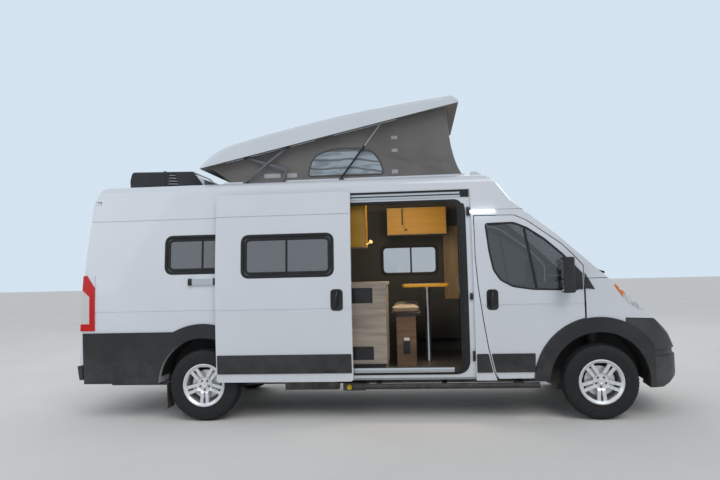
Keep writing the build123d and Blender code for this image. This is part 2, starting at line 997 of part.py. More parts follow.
def wheel_profile(points):
    """A ring about the Y axis through the origin, from an outline of (y, radius) points."""
    with BuildPart() as ring:
        with BuildSketch(Plane.YZ):
            Polygon(*points, align=None)
        revolve(axis=Axis.Y)
    return ring.part


seat_clearance = 0.3
shoulder_radius_low = tyre_radius - 44
tread_half = half_tyre - 26
tyre_at_origin = wheel_profile(
    [
        (-half_tyre, rim_lip_radius + seat_clearance),
        (-half_tyre, shoulder_radius_low),
        (-tread_half, tyre_radius),
        (tread_half, tyre_radius),
        (half_tyre, shoulder_radius_low),
        (half_tyre, rim_lip_radius + seat_clearance),
    ]
)

barrel_points = [
    (-barrel_half - 10, rim_lip_radius),
    (-barrel_half + 8, rim_well_radius + 10),
    (barrel_half - 8, rim_well_radius + 10),
    (barrel_half + 10, rim_lip_radius),
    (barrel_half + 12, rim_lip_radius - 10),
    (barrel_half - 6, rim_well_radius),
    (6 - barrel_half, rim_well_radius),
    (-barrel_half - 12, rim_lip_radius - 10),
]
disc_points = [
    (34, 0),
    (34, 74),
    (52, 90),
    (face_y - 30, rim_well_radius + 5),
    (face_y, rim_well_radius + 5),
    (78, 92),
    (66, 70),
    (66, 0),
]
with BuildPart() as rim:
    with BuildSketch(Plane.YZ):
        Polygon(*disc_points, align=None)
    revolve(axis=Axis.Y)
    with BuildSketch(Plane.XZ.offset(-face_y - 10)):
        with PolarLocations(0, spoke_pairs, start_angle=270):
            Polygon((80, 7), (183, 13), (183, -13), (80, -7), align=None)
        with PolarLocations(0, spoke_pairs, start_angle=90):
            Polygon((78, 9), (178, 72), (186, 40), (186, -40), (178, -72), (78, -9), align=None)
    extrude(amount=face_y + 10, mode=Mode.SUBTRACT)
    add(wheel_profile(barrel_points))
    add(wheel_profile([(-14, 60), (-14, 148), (10, 148), (10, 60)]))
    add(wheel_profile([(-14, 0), (-14, 66), (50, 66), (50, 0)]))
rim_at_origin = rim.part

wheel_places = [
    ("front_right", front_axle_x, -front_track / 2),
    ("front_left", front_axle_x, front_track / 2),
    ("rear_right", rear_axle_x, -rear_track / 2),
    ("rear_left", rear_axle_x, rear_track / 2),
]
for name, x, y in wheel_places:
    turn = Location((x, y, hub_z)) if y > 0 else Location((x, y, hub_z), (0, 0, 180))
    keep(tyre_at_origin.moved(turn), f"tyre_{name}")
    keep(rim_at_origin.moved(turn), f"rim_{name}")

# Steering knuckles, each on an upright pin between the arms of the front axle
pin_half = front_track / 2 - kingpin_inset
arm_z = 128.0
for side, name in ((-1, "right"), (1, "left")):
    y = side * pin_half
    with BuildPart() as knuckle:
        add(block(front_axle_x - 34, front_axle_x + 34, y - 16, y + 16, hub_z - arm_z + gap, hub_z + arm_z - gap))
        add(cylinder_y(front_axle_x, hub_z, 42, side * (pin_half - 30), side * (front_track / 2 - 20)))
        add(cylinder_z(front_axle_x, y, pin_radius, hub_z - arm_z - 26, hub_z + arm_z + 26))
        add(block(front_axle_x - 150, front_axle_x, y - side * 16, y - side * 36, hub_z - 60, hub_z - 30))
    keep(knuckle.part, f"knuckle_{name}")

# Front subframe with lower arms and struts, and the engine as one plain block on it
subframe_reach = 330.0
subframe_low_z = 210.0
subframe_top_z = 250.0
subframe_foot = 80.0
arm_thickness = 26.0
arm_end_y = 745.0
tower_y = 724.0
tower_radius = 30.0
tower_top_z = 860.0
coil_y = 690.0
coil_radius = 62.0
coil_low_z = 600.0
coil_top_z = 850.0
with BuildPart() as subframe:
    reach = rail_half + rail_width
    front_x = front_axle_x + subframe_reach
    rear_x = front_axle_x - subframe_reach
    add(block(rear_x, front_x, -rail_half, rail_half, subframe_low_z, subframe_top_z))
    add(block(rear_x, rear_x + subframe_foot, -reach, reach, subframe_low_z, rail_low_z))
    add(block(front_x - subframe_foot, front_x, -reach, reach, subframe_low_z, rail_low_z))
    for side in (-1, 1):
        y = side * pin_half
        for level in (-1, 1):
            low = hub_z + level * arm_z - (arm_thickness if level < 0 else 0)
            pin_room = cylinder_z(front_axle_x, y, pin_radius + pin_clearance, low - 1, low + arm_thickness + 1)
            arm_from_x, arm_to_x = front_axle_x - arm_thickness, front_axle_x + arm_thickness
            add(block(arm_from_x, arm_to_x, side * arm_end_y, y, low, low + arm_thickness))
            add(cylinder_z(front_axle_x, y, arm_thickness, low, low + arm_thickness))
            add(pin_room, mode=Mode.SUBTRACT)
        add(
            plan_prism(
                [
                    (front_axle_x - 26, side * 760),
                    (front_axle_x + 26, side * 760),
                    (front_axle_x + 200, side * 380),
                    (front_axle_x - 200, side * 380),
                ],
                hub_z - arm_z - arm_thickness,
                hub_z - arm_z,
            )
        )
        add(cylinder_z(front_axle_x, side * tower_y, tower_radius, hub_z + arm_z - tower_radius, tower_top_z))
        add(cylinder_z(front_axle_x, side * coil_y, coil_radius, coil_low_z, coil_top_z))
subframe_part = less(subframe.part, housings_front, firewall_part, fenders)
keep(subframe_part, "front_subframe")
with BuildPart() as engine:
    with BuildSketch(Plane.XY.offset(rail_low_z)):
        with Locations((front_axle_x + 180, 0)):
            RectangleRounded(420, 640, 40)
    extrude(amount=640)
keep(engine.part, "engine")

# Rear axle: a dropped beam on two leaf springs
spring_half = 30.0
spring_y = rail_half + rail_width + spring_half
with BuildPart() as rear_axle:
    beam_half = rear_track / 2 - 22
    half_beam_points = [
        (beam_half, hub_z - 36),
        (655, hub_z - 36),
        (592, 200),
        (-592, 200),
        (-655, hub_z - 36),
        (-beam_half, hub_z - 36),
        (-beam_half, hub_z + 36),
        (-622, hub_z + 36),
        (-560, 272),
        (560, 272),
        (622, hub_z + 36),
        (beam_half, hub_z + 36),
    ]
    add(front_prism(half_beam_points, rear_axle_x - 36, rear_axle_x + 36))
    for side in (-1, 1):
        with BuildSketch(Plane.XZ.offset(-side * spring_y - spring_half)):
            with BuildLine():
                top = ThreePointArc((rear_axle_x - 640, 372), (rear_axle_x, 292), (rear_axle_x + 640, 372))
                low = ThreePointArc((rear_axle_x - 640, 350), (rear_axle_x, 262), (rear_axle_x + 640, 350))
                Line(top @ 0, low @ 0)
                Line(top @ 1, low @ 1)
            make_face()
        extrude(amount=2 * spring_half)
rear_axle_part = rear_axle.part
keep(rear_axle_part, "rear_axle")


# Pop-up roof lid, drawn closed and turned open about its pole
shoulder_radius = 46.0
lid_end_x = pop_rear_x + pop_length


def lid_form(inset):
    """The lid's closed form above its rim, moved inwards by inset."""
    low = pop_closed_z - (overlap if inset else 0)
    with BuildPart() as form:
        with BuildSketch(Plane.XZ):
            with BuildLine():
                crown = ThreePointArc(
                    (lid_end_x - 60 - inset, pop_closed_z + 100 - inset),
                    (pop_rear_x + 1400, pop_closed_z + 188 - inset),
                    (pop_rear_x + 420, pop_closed_z + 172 - inset),
                )
                rear = TangentArc(crown @ 1, (pop_rear_x + inset, pop_closed_z + 20), tangent=crown % 1)
                Line(rear @ 1, (pop_rear_x + inset, low))
                Line((pop_rear_x + inset, low), (lid_end_x - inset, low))
                Line((lid_end_x - inset, low), (lid_end_x - inset, pop_closed_z + 20))
                Line((lid_end_x - inset, pop_closed_z + 20), crown @ 0)
            make_face()
        extrude(amount=pop_half - inset, both=True)
        if not inset:
            side_faces = form.faces().filter_by(Axis.Y)
            shoulders = [edge for edge in side_faces.edges() if edge.center().Z > pop_closed_z + 60]
            fillet(shoulders, shoulder_radius)
    return form.part


lid_turn_plane = Axis((pole_x, 0, pole_z), (0, 1, 0))
arm_layer = (776.0, 788.0)
second_layer = (758.0, 770.0)
rim_half = pop_half - 8
rim_hole_half = canvas_half - 70
rim_hole_rear_x = pop_rear_x + 160
rim_hole_front_x = lid_end_x - 260
slot_near = canvas_half + 24
slot_far = pop_half - pop_skin
lid_slots = [(300, 1300), (1500, 2200)]
with BuildPart() as lid:
    add(lid_form(0))
    add(lid_form(pop_skin), mode=Mode.SUBTRACT)
    add(
        less(
            block(
                pop_rear_x + 10,
                lid_end_x - 10,
                -rim_half,
                rim_half,
                pop_closed_z,
                pop_closed_z + pop_flange,
            ),
            block(rim_hole_rear_x, rim_hole_front_x, -rim_hole_half, rim_hole_half, 0, high),
            *[
                block(pop_rear_x + run_from, pop_rear_x + run_to, side * slot_near, side * slot_far, 0, high)
                for side in (-1, 1)
                for run_from, run_to in lid_slots
            ],
        )
    )
lid_closed = lid.part
lid_open = lid_closed.rotate(lid_turn_plane, -pop_angle)
keep(lid_open, "pop_top_lid")


def lid_point(x, depth):
    """A point in side view carried by the open lid: x along the closed lid, depth above its rim."""
    u = x - pole_x
    w = pop_closed_z + depth - pole_z
    turn = radians(pop_angle)
    return (pole_x + u * cos(turn) - w * sin(turn), pole_z + u * sin(turn) + w * cos(turn))


cooler_half = 345.0

# Base frame round the hatch, with the white fairings before and behind it
with BuildPart() as base:
    add(
        less(
            plan_prism(
                [
                    (base_rear_x, -base_half),
                    (base_front_x, -base_half),
                    (base_front_x, base_half),
                    (base_rear_x, base_half),
                ],
                2440,
                base_top_z,
                40,
            ),
            hatch,
            outer_form,
        )
    )
    add(
        less(
            side_prism([(-1985, 2440), (-1985, 2640), (-1965, 2640), (-1750, 2500), (-1750, 2440)], -640, 640),
            outer_form,
            block(pop_rear_x - 12, 0, -far, far, 0, high),
            block(-2100, -1900, -cooler_half - gap, cooler_half + gap, 0, high),
        )
    )
    add(
        less(
            side_prism([(1010, 2480), (1045, 2551), (1100, 2551), (1247, 2480)], -700, 700),
            outer_form,
        )
    )
base_part = base.part

# Canvas walls, from the base frame to the lid's rim
canvas_low_z = base_top_z
canvas_outline = [
    (base_rear_x + 70, canvas_low_z),
    (base_front_x - 20, canvas_low_z),
    (base_front_x - 100, canvas_low_z + 190),
    (base_front_x - 150, canvas_low_z + 480),
    lid_point(lid_end_x - 130, 0),
    lid_point(pop_rear_x + 90, 0),
]
canvas_inside = [
    (base_rear_x + 70 + canvas_thickness, canvas_low_z - 50),
    (base_front_x - 20 - canvas_thickness, canvas_low_z - 50),
    (base_front_x - 20 - canvas_thickness, canvas_low_z),
    (base_front_x - 100 - canvas_thickness, canvas_low_z + 190),
    (base_front_x - 150 - canvas_thickness, canvas_low_z + 480),
    lid_point(lid_end_x - 130 - canvas_thickness, 0),
    lid_point(lid_end_x - 130 - canvas_thickness, 60),
    lid_point(pop_rear_x + 90 + canvas_thickness, 60),
    lid_point(pop_rear_x + 90 + canvas_thickness, 0),
    (base_rear_x + 70 + canvas_thickness, canvas_low_z),
]
canvas = less(
    side_prism(canvas_outline, -canvas_half, canvas_half),
    side_prism(canvas_inside, canvas_thickness - canvas_half, canvas_half - canvas_thickness),
)
keep(canvas, "pop_top_canvas")

# Lift arms: a straight and a cranked one crossing on each side, pinned to brackets on the roof
arm_width = 26.0
arm_pin_radius = 7.0
long_foot = (-1383.0, 2520.0)
short_foot = (-970.0, 2520.0)
elbow = (-923.0, 2640.0)
long_tip = lid_point(-845.0, 22.0)
short_tip = lid_point(-1395.0, 22.0)


def bar(start, end, width, y_from, y_to):
    """A flat bar with round ends between two points in side view."""
    dx, dz = end[0] - start[0], end[1] - start[1]
    run = hypot(dx, dz)
    nx, nz = -dz / run * width / 2, dx / run * width / 2
    with BuildPart() as piece:
        add(
            side_prism(
                [
                    (start[0] + nx, start[1] + nz),
                    (start[0] - nx, start[1] - nz),
                    (end[0] - nx, end[1] - nz),
                    (end[0] + nx, end[1] + nz),
                ],
                y_from,
                y_to,
            )
        )
        add(cylinder_y(*start, width / 2, y_from, y_to))
        add(cylinder_y(*end, width / 2, y_from, y_to))
    return piece.part


long_solids, short_solids, bracket_solids = [], [], []
for side in (-1, 1):
    outer_y = [side * y for y in arm_layer]
    inner_y = [side * y for y in second_layer]
    pin_hole_long = cylinder_y(*long_foot, arm_pin_radius + pin_clearance, side * 700, side * 800)
    pin_hole_short = cylinder_y(*short_foot, arm_pin_radius + pin_clearance, side * 700, side * 800)
    long_solids.append(less(bar(long_foot, long_tip, arm_width, *outer_y), pin_hole_long))
    crank = joined(bar(short_foot, elbow, arm_width, *inner_y), bar(elbow, short_tip, arm_width, *inner_y))
    short_solids.append(less(crank, pin_hole_short))
    pin_long = cylinder_y(*long_foot, arm_pin_radius, side * 746, side * 790)
    pin_short = cylinder_y(*short_foot, arm_pin_radius, side * 746, side * 772)
    rail = block(long_foot[0] - 30, short_foot[0] + 30, side * 742, side * 752, 2440, base_top_z)
    bracket_solids.append(less(joined(rail, pin_long, pin_short), outer_form))
keep(joined(*long_solids), "lift_arms_straight")
keep(joined(*short_solids), "lift_arms_cranked")

# Gas struts: a tube pinned to the roof and a rod that slides in it, up into the lid
strut_y = 782.0
tube_radius = 11.0
rod_radius = 5.0
strut_foot = (-333.0, 2520.0)
strut_tip = lid_point(170.0, 14.0)
strut_run = hypot(strut_tip[0] - strut_foot[0], strut_tip[1] - strut_foot[1])
strut_dir = ((strut_tip[0] - strut_foot[0]) / strut_run, (strut_tip[1] - strut_foot[1]) / strut_run)
tube_length = 430.0
rod_start = 330.0


def strut_bar(start, end, radius, y):
    """A round bar along the strut, between two distances from its foot."""
    origin = (strut_foot[0] + start * strut_dir[0], y, strut_foot[1] + start * strut_dir[1])
    plane = Plane(origin=origin, z_dir=(strut_dir[0], 0, strut_dir[1]), x_dir=(0, 1, 0))
    with BuildPart() as piece:
        with BuildSketch(plane):
            Circle(radius)
        extrude(amount=end - start)
    return piece.part


tube_solids, rod_solids = [], []
for side in (-1, 1):
    y = side * strut_y
    foot_hole = cylinder_y(*strut_foot, arm_pin_radius + pin_clearance, side * 700, side * 800)
    eye = cylinder_y(*strut_foot, 13, side * (strut_y - 6), side * (strut_y + 6))
    tube = less(
        joined(strut_bar(0, tube_length, tube_radius, y), eye),
        strut_bar(26, tube_length + 1, rod_radius + pin_clearance, y),
        foot_hole,
        block(-3000, 3000, side * (strut_y + 6), side * far, strut_foot[1] - 20, strut_foot[1] + 10),
        block(-3000, 3000, side * 700, side * (strut_y - 6), strut_foot[1] - 20, strut_foot[1] + 10),
    )
    tube_solids.append(tube)
    rod = joined(strut_bar(rod_start, strut_run - 4, rod_radius, y), strut_bar(strut_run - 16, strut_run, 9, y))
    rod_solids.append(rod)
    foot_block = block(strut_foot[0] - 26, strut_foot[0] + 26, side * 742, side * 752, 2440, base_top_z)
    foot_pin = cylinder_y(*strut_foot, arm_pin_radius, side * 746, side * 790)
    bracket_solids.append(less(joined(foot_block, foot_pin), outer_form))
keep(joined(*tube_solids), "strut_tubes")
keep(joined(*rod_solids), "strut_rods")
keep(base_part, "pop_top_base")
keep(joined(*bracket_solids), "lift_brackets")


# Rooftop air conditioner
cooler_low_z = 2480.0
cooler_height = 226.0
cooler_points = [
    (-2868, cooler_low_z),
    (-2884, roof_height + 150),
    (-2862, roof_height + cooler_height),
    (-2130, roof_height + cooler_height - 16),
    (-1935, roof_height + 20),
    (-1935, cooler_low_z),
]
cooler_corner = 40.0
cooler_edge = 30.0
cooler_edge_z = roof_height + 120
louvre_count = 5
louvre_rear_x = -2420.0
louvre_front_x = -2290.0
louvre_lean_rear = 4.0
louvre_lean_front = 10.0
louvre_low_z = roof_height + 40
louvre_pitch = 34.0
louvre_height = 12.0
louvre_depth = 20.0
with BuildPart() as cooler:
    with BuildSketch(Plane.XZ.offset(-cooler_half)) as cooler_side:
        Polygon(*cooler_points, align=None)
        fillet(cooler_side.vertices().group_by(Axis.Y)[-1], cooler_corner)
    extrude(amount=2 * cooler_half)
    fillet(cooler.faces().filter_by(Axis.Y).edges().filter_by(lambda edge: edge.center().Z > cooler_edge_z), cooler_edge)
    add(outer_form, mode=Mode.SUBTRACT)
    for side in (-1, 1):
        for index in range(louvre_count):
            z = louvre_low_z + louvre_pitch * index
            add(
                block(
                    louvre_rear_x + louvre_lean_rear * index,
                    louvre_front_x - louvre_lean_front * index,
                    side * (cooler_half - louvre_depth),
                    side * (cooler_half + louvre_depth),
                    z,
                    z + louvre_height,
                ),
                mode=Mode.SUBTRACT,
            )
keep(cooler.part, "air_conditioner")

# Light bar above the passenger door, step bar below the doorway
light_z = 2102.0
light_half_height = 15.0
light_rear_x = 1005.0
light_front_x = 1256.0
light_proud = 34.0
light = trim(
    less(body_form(-light_proud), outer_form),
    block(light_rear_x, light_front_x, -far, -side_near, light_z - light_half_height, light_z + light_half_height),
)
keep(light, "light_bar")
step_y = -975.0
step_z = 343.0
step_radius = 30.0
step_from_x = -238.0
step_to_x = 1640.0
with BuildPart() as step_bar:
    with BuildSketch(Plane.YZ.offset(step_from_x)):
        with Locations((step_y, step_z)):
            Circle(step_radius)
    extrude(amount=step_to_x - step_from_x)
    for x in (step_from_x + 260, (step_from_x + step_to_x) / 2, step_to_x - 160):
        add(block(x - 25, x + 25, step_y, -rail_half - rail_width, step_z - 14, step_z + 10))
keep(step_bar.part, "step_bar")

# Mirrors: two housings on an arm from the window's front corner
mirror_low_z = 1262.0
mirror_height = 350.0
mirror_rear_x = 1868.0
mirror_back = (1070.0, 1190.0)
mirror_nose = [(1985, 1145), (1975, 1066)]
mirror_edge = 14.0
mirror_arm = (1905.0, 1965.0)
mirror_arm_reach = (1005.0, 1075.0)
mirror_arm_height = (1330.0, 1410.0)
mirror_base_points = [(1945, 1290), (2088, 1290), (2088, 1450), (1975, 1580)]
mirror_base_proud = 10.0
mirror_base_skin = less(body_form(-mirror_base_proud), outer_form)
for side, name in ((-1, "passenger"), (1, "driver")):
    arm = block(*mirror_arm, *[side * y for y in mirror_arm_reach], *mirror_arm_height)
    mirror_base = trim(mirror_base_skin, side_prism(mirror_base_points, side * side_near, side * far))
    with BuildPart() as mirror_head:
        with BuildSketch(Plane.XY.offset(mirror_low_z)):
            with BuildLine():
                back = Line(*[(mirror_rear_x, side * y) for y in mirror_back])
                front = ThreePointArc(back @ 1, *[(x, side * y) for x, y in mirror_nose])
                Line(front @ 1, back @ 0)
            make_face()
        extrude(amount=mirror_height)
        fillet(mirror_head.edges(), mirror_edge)
        add(arm)
        add(outer_form, mode=Mode.SUBTRACT)
        add(mirror_base)
    keep(mirror_head.part, f"mirror_{name}")

# Under the floor: tanks, silencer with its pipe, service valve box, mud flaps behind the rear wheels
tank_near = rail_half + rail_width + 70
tank_far = 690.0
tank_low_z = 262.0
fuel_tank = (-1050.0, -60.0)
water_tank = (-1000.0, -420.0)
valve_box = block(-343, -110, -930, -rail_half - rail_width, 293, 367)
pipe_y = 250.0
pipe_z = 270.0
pipe_radius = 28.0
pipe_length = 2200.0
silencer_x = 430.0
silencer_length = 600.0
silencer_radii = (120.0, 80.0)
silencer_z = 330.0
hanger_half = 10.0
flap_x = rear_axle_x - 400
flap_thickness = 8.0
flap_low_z = 130.0
with BuildPart() as underbody:
    add(block(*fuel_tank, tank_near, tank_far, tank_low_z, floor_low_z))
    add(block(*water_tank, -tank_far, -tank_near, tank_low_z, floor_low_z))
    add(valve_box)
    with BuildSketch(Plane.YZ.offset(silencer_x)):
        with Locations((pipe_y, silencer_z)):
            Ellipse(*silencer_radii)
    extrude(amount=silencer_length)
    with BuildSketch(Plane.YZ.offset(rear_axle_x + 150)):
        with Locations((pipe_y, pipe_z)):
            Circle(pipe_radius)
    extrude(amount=pipe_length)
    for x in crossmember_xs[2:5]:
        add(
            block(
                x,
                x + crossmember_width,
                pipe_y - hanger_half,
                pipe_y + hanger_half,
                pipe_z + hanger_half,
                crossmember_low_z,
            )
        )
    for side in (-1, 1):
        add(block(flap_x, flap_x + flap_thickness, side * side_near, side * sill_half, flap_low_z, sill_z))
underbody_part = less(underbody.part, cladding, side_right, side_left, floor_part)
keep(underbody_part, "underbody")

# Cab inside: dashboard with the steering wheel, and two seats
floor_z = sill_z + wall
dash_points = [(2120, 900), (1850, 960), (1800, 1180), (1830, 1260), (2080, 1330), (2128, 1330)]
wheel_centre = (1700, 430, 1215)
column_tilt = 0.51
with BuildPart() as dashboard:
    add(side_prism(dash_points, -870, 870, 20))
    add(block(1840, 2110, -180, 180, 700, 960))
    with BuildSketch(Plane(origin=wheel_centre, z_dir=(-1, 0, column_tilt))):
        Circle(195)
        Circle(168, mode=Mode.SUBTRACT)
        Rectangle(350, 34)
        with Locations((0, -90)):
            Rectangle(34, 180)
        Circle(55)
    extrude(amount=-26)
    with BuildSketch(Plane(origin=wheel_centre, z_dir=(1, 0, -column_tilt))):
        Circle(42)
    extrude(amount=260)
dashboard_part = less(dashboard.part, firewall_part, housings_front, fenders, side_right, side_left)
keep(dashboard_part, "dashboard")

seat_y = 470.0
seat_solids = []
for side in (-1, 1):
    with BuildPart() as seat:
        with BuildSketch(Plane.XZ.offset(-side * seat_y - 210)) as seat_side:
            Polygon(
                (1080, 780),
                (1560, 800),
                (1570, 900),
                (1190, 900),
                (1090, 1480),
                (990, 1480),
                (1040, 900),
                align=None,
            )
            fillet(seat_side.vertices(), 22)
        extrude(amount=420)
        with BuildSketch(Plane.XZ.offset(-side * seat_y - 130)) as rest_side:
            Polygon((1000, 1540), (1090, 1540), (1075, 1700), (995, 1700), align=None)
            fillet(rest_side.vertices(), 20)
        extrude(amount=260)
        for y in (-60, 60):
            add(cylinder_z(1040, side * seat_y + y, 8, 1460, 1560))
        add(block(1100, 1500, side * seat_y - 180, side * seat_y + 180, floor_z, 800))
    seat_solids.append(seat.part)
seats = joined(*seat_solids)
keep(seats, "cab_seats")

# Living space: galley at the doorway's rear edge, lockers above, bench, table and rear bed
board = 18.0
galley_top_z = 1372.0


inside_y = waist_half - wall - 12
kitchen = joined(
    less(
        block(-900, 122, -inside_y + 60, -inside_y + 560, floor_z + 100, galley_top_z),
        block(-880, 104, -inside_y + 40, -inside_y + 540, floor_z + 140, galley_top_z - 260),
        block(-820, -300, -inside_y + 110, -inside_y + 500, galley_top_z - 160, galley_top_z + 1),
    ),
    block(-900, 110, -inside_y + 70, -inside_y + 550, floor_z, floor_z + 100),
    block(-912, 136, -inside_y + 58, -inside_y + 574, galley_top_z, galley_top_z + 22),
)
locker_low_z = 1960.0
locker_top_z = 2300.0
lockers = joined(
    less(
        block(90, 830, 470, 860, locker_low_z, locker_top_z),
        block(110, 810, 490, 870, locker_low_z + 20, locker_top_z - 20),
    ),
    less(
        block(-900, -95, -820, -500, 1770, locker_top_z),
        block(-880, -115, -830, -520, 1790, locker_top_z - 20),
    ),
)
kitchen = joined(kitchen, less(lockers, side_left, side_right))
keep(kitchen, "galley_and_lockers")
bench = joined(
    block(205, 420, -420, 520, floor_z, 1030),
    block(150, 470, -430, 530, 1030, 1048),
)
with BuildPart() as cushion:
    add(block(155, 465, -425, 525, 1048, 1128))
    fillet(cushion.edges(), 18)
table_top_z = 1352.0
with BuildPart() as table:
    with BuildSketch(Plane.XY.offset(table_top_z - 26)):
        with Locations((540, -80)):
            RectangleRounded(520, 560, 50)
    extrude(amount=26)
    add(cylinder_z(560, -120, 28, floor_z + 6, table_top_z - 26))
    add(cylinder_z(560, -120, 90, floor_z, floor_z + 8))
bed = joined(
    block(tail_x + 190, -1330, -inside_y + 70, -housing_half - 30, floor_z, 1150),
    block(tail_x + 190, -1330, housing_half + 30, inside_y - 70, floor_z, 1150),
    block(tail_x + 190, -1330, -inside_y + 70, inside_y - 70, 1150, 1176),
)
housing_room = arch_radius + housing_wall + gap
bed = less(
    bed,
    *[
        arch_cut(rear_axle_x, housing_room, side * (housing_half - gap), side * far)
        for side in (-1, 1)
    ],
)
keep(joined(bench, bed, table.part), "bench_bed_and_table")
with BuildPart() as mattress:
    add(block(tail_x + 195, -1335, -inside_y + 75, inside_y - 75, 1176, 1300))
    fillet(mattress.edges(), 25)
keep(joined(cushion.part, mattress.part), "cushions")
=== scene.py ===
# %% [markdown]
# # A camper van with its roof raised
# The rigid pieces of the van come ready from the frame. This notebook gives them their finishes, and adds
# what a body shop, a tyre maker and an upholsterer would: seals, tread, bolts, canvas, cushions and wood.
# Everything is in metres, +X forwards, +Y to the driver's side and +Z up.

# %% Frame
import math

import bmesh
import bpy
import numpy as np
from mathutils import Matrix, Vector


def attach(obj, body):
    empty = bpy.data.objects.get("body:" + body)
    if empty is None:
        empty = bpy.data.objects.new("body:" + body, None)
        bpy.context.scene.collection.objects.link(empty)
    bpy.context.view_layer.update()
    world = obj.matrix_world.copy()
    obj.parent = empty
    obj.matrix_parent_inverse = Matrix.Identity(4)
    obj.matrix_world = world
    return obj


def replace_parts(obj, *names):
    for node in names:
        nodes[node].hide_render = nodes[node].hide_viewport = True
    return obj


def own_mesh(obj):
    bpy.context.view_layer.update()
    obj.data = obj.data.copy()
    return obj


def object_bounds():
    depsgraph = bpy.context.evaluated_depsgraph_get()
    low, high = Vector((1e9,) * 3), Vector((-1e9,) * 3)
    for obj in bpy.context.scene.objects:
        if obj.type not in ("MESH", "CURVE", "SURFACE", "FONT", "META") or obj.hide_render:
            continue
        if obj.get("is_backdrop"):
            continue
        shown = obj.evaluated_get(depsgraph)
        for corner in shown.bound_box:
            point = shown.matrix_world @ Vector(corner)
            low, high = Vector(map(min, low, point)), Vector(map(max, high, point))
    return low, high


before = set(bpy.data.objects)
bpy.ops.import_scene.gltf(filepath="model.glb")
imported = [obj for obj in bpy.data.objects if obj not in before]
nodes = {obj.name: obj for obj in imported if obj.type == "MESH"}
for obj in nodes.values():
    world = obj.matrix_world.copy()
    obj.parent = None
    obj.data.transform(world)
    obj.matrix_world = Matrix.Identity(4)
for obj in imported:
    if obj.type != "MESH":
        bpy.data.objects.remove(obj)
cad_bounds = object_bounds()
print(len(nodes), "nodes in the frame")

# %% [markdown]
# ## Camera
# The photograph was taken from standing height, a little ahead of the middle of the van, with a lens a
# little wider than normal. A camera is a place, three turns and a focal length, so those five facts are
# all that is written here. The matrix is built from them, because that keeps the tiny roll exact.

# %% Camera
CAMERA_PLACE = (0.464, -7.535, 1.534)
CAMERA_YAW = math.radians(-5.15)
CAMERA_PITCH = math.radians(2.69)
CAMERA_ROLL = math.radians(-1.42)
CAMERA_LENS = 31.89


def camera_axes(yaw, pitch, roll):
    """Right, up and forward directions: forward from yaw and pitch, then a turn by roll about it."""
    forward = Vector((math.sin(yaw) * math.cos(pitch), math.cos(yaw) * math.cos(pitch), math.sin(pitch)))
    level = Vector((math.cos(yaw), -math.sin(yaw), 0.0))
    upright = level.cross(forward)
    right = math.cos(roll) * level + math.sin(roll) * upright
    up = math.cos(roll) * upright - math.sin(roll) * level
    return right, up, forward


lens = bpy.data.cameras.new("camera")
lens.lens = CAMERA_LENS
lens.clip_end = 200.0
camera = bpy.data.objects.new("camera", lens)
bpy.context.scene.collection.objects.link(camera)
right, up, forward = camera_axes(CAMERA_YAW, CAMERA_PITCH, CAMERA_ROLL)
turn = Matrix((right, up, -forward)).transposed().to_4x4()
camera.matrix_world = Matrix.Translation(CAMERA_PLACE) @ turn
bpy.context.scene.camera = camera
print("camera looks along", tuple(round(value, 3) for value in forward))

# %% [markdown]
# ## Shader arithmetic
# A finish is a small sum: noise times a strength, plus a colour. Nodes say that at length, so one class
# wraps an output socket and lets Python's own signs add the Math nodes. Any other kind of node comes
# from one method that takes its type, its settings and what feeds its sockets.


# %% Signals and finishes
def operator(operation, swapped=False):
    """A method for one of Python's signs: it adds a Math node of that operation."""

    def method(self, other=0.0):
        first, second = (other, self) if swapped else (self, other)
        return self.finish.node("ShaderNodeMath", {"operation": operation}, {0: first, 1: second})

    return method


class Signal:
    """A number or colour that varies over a surface, as one output socket of a finish."""

    def __init__(self, finish, socket):
        self.finish = finish
        self.socket = socket

    __add__, __radd__ = operator("ADD"), operator("ADD", True)
    __sub__, __rsub__ = operator("SUBTRACT"), operator("SUBTRACT", True)
    __mul__, __rmul__ = operator("MULTIPLY"), operator("MULTIPLY", True)
    __gt__, __lt__ = operator("GREATER_THAN"), operator("LESS_THAN")
    most, wave = operator("MAXIMUM"), operator("SINE")

    def ramp(self, low, high):
        """0 below low, 1 above high, smooth between."""
        return self.finish.node(
            "ShaderNodeMapRange",
            {"interpolation_type": "SMOOTHSTEP"},
            {"Value": self, "From Min": low, "From Max": high},
        )


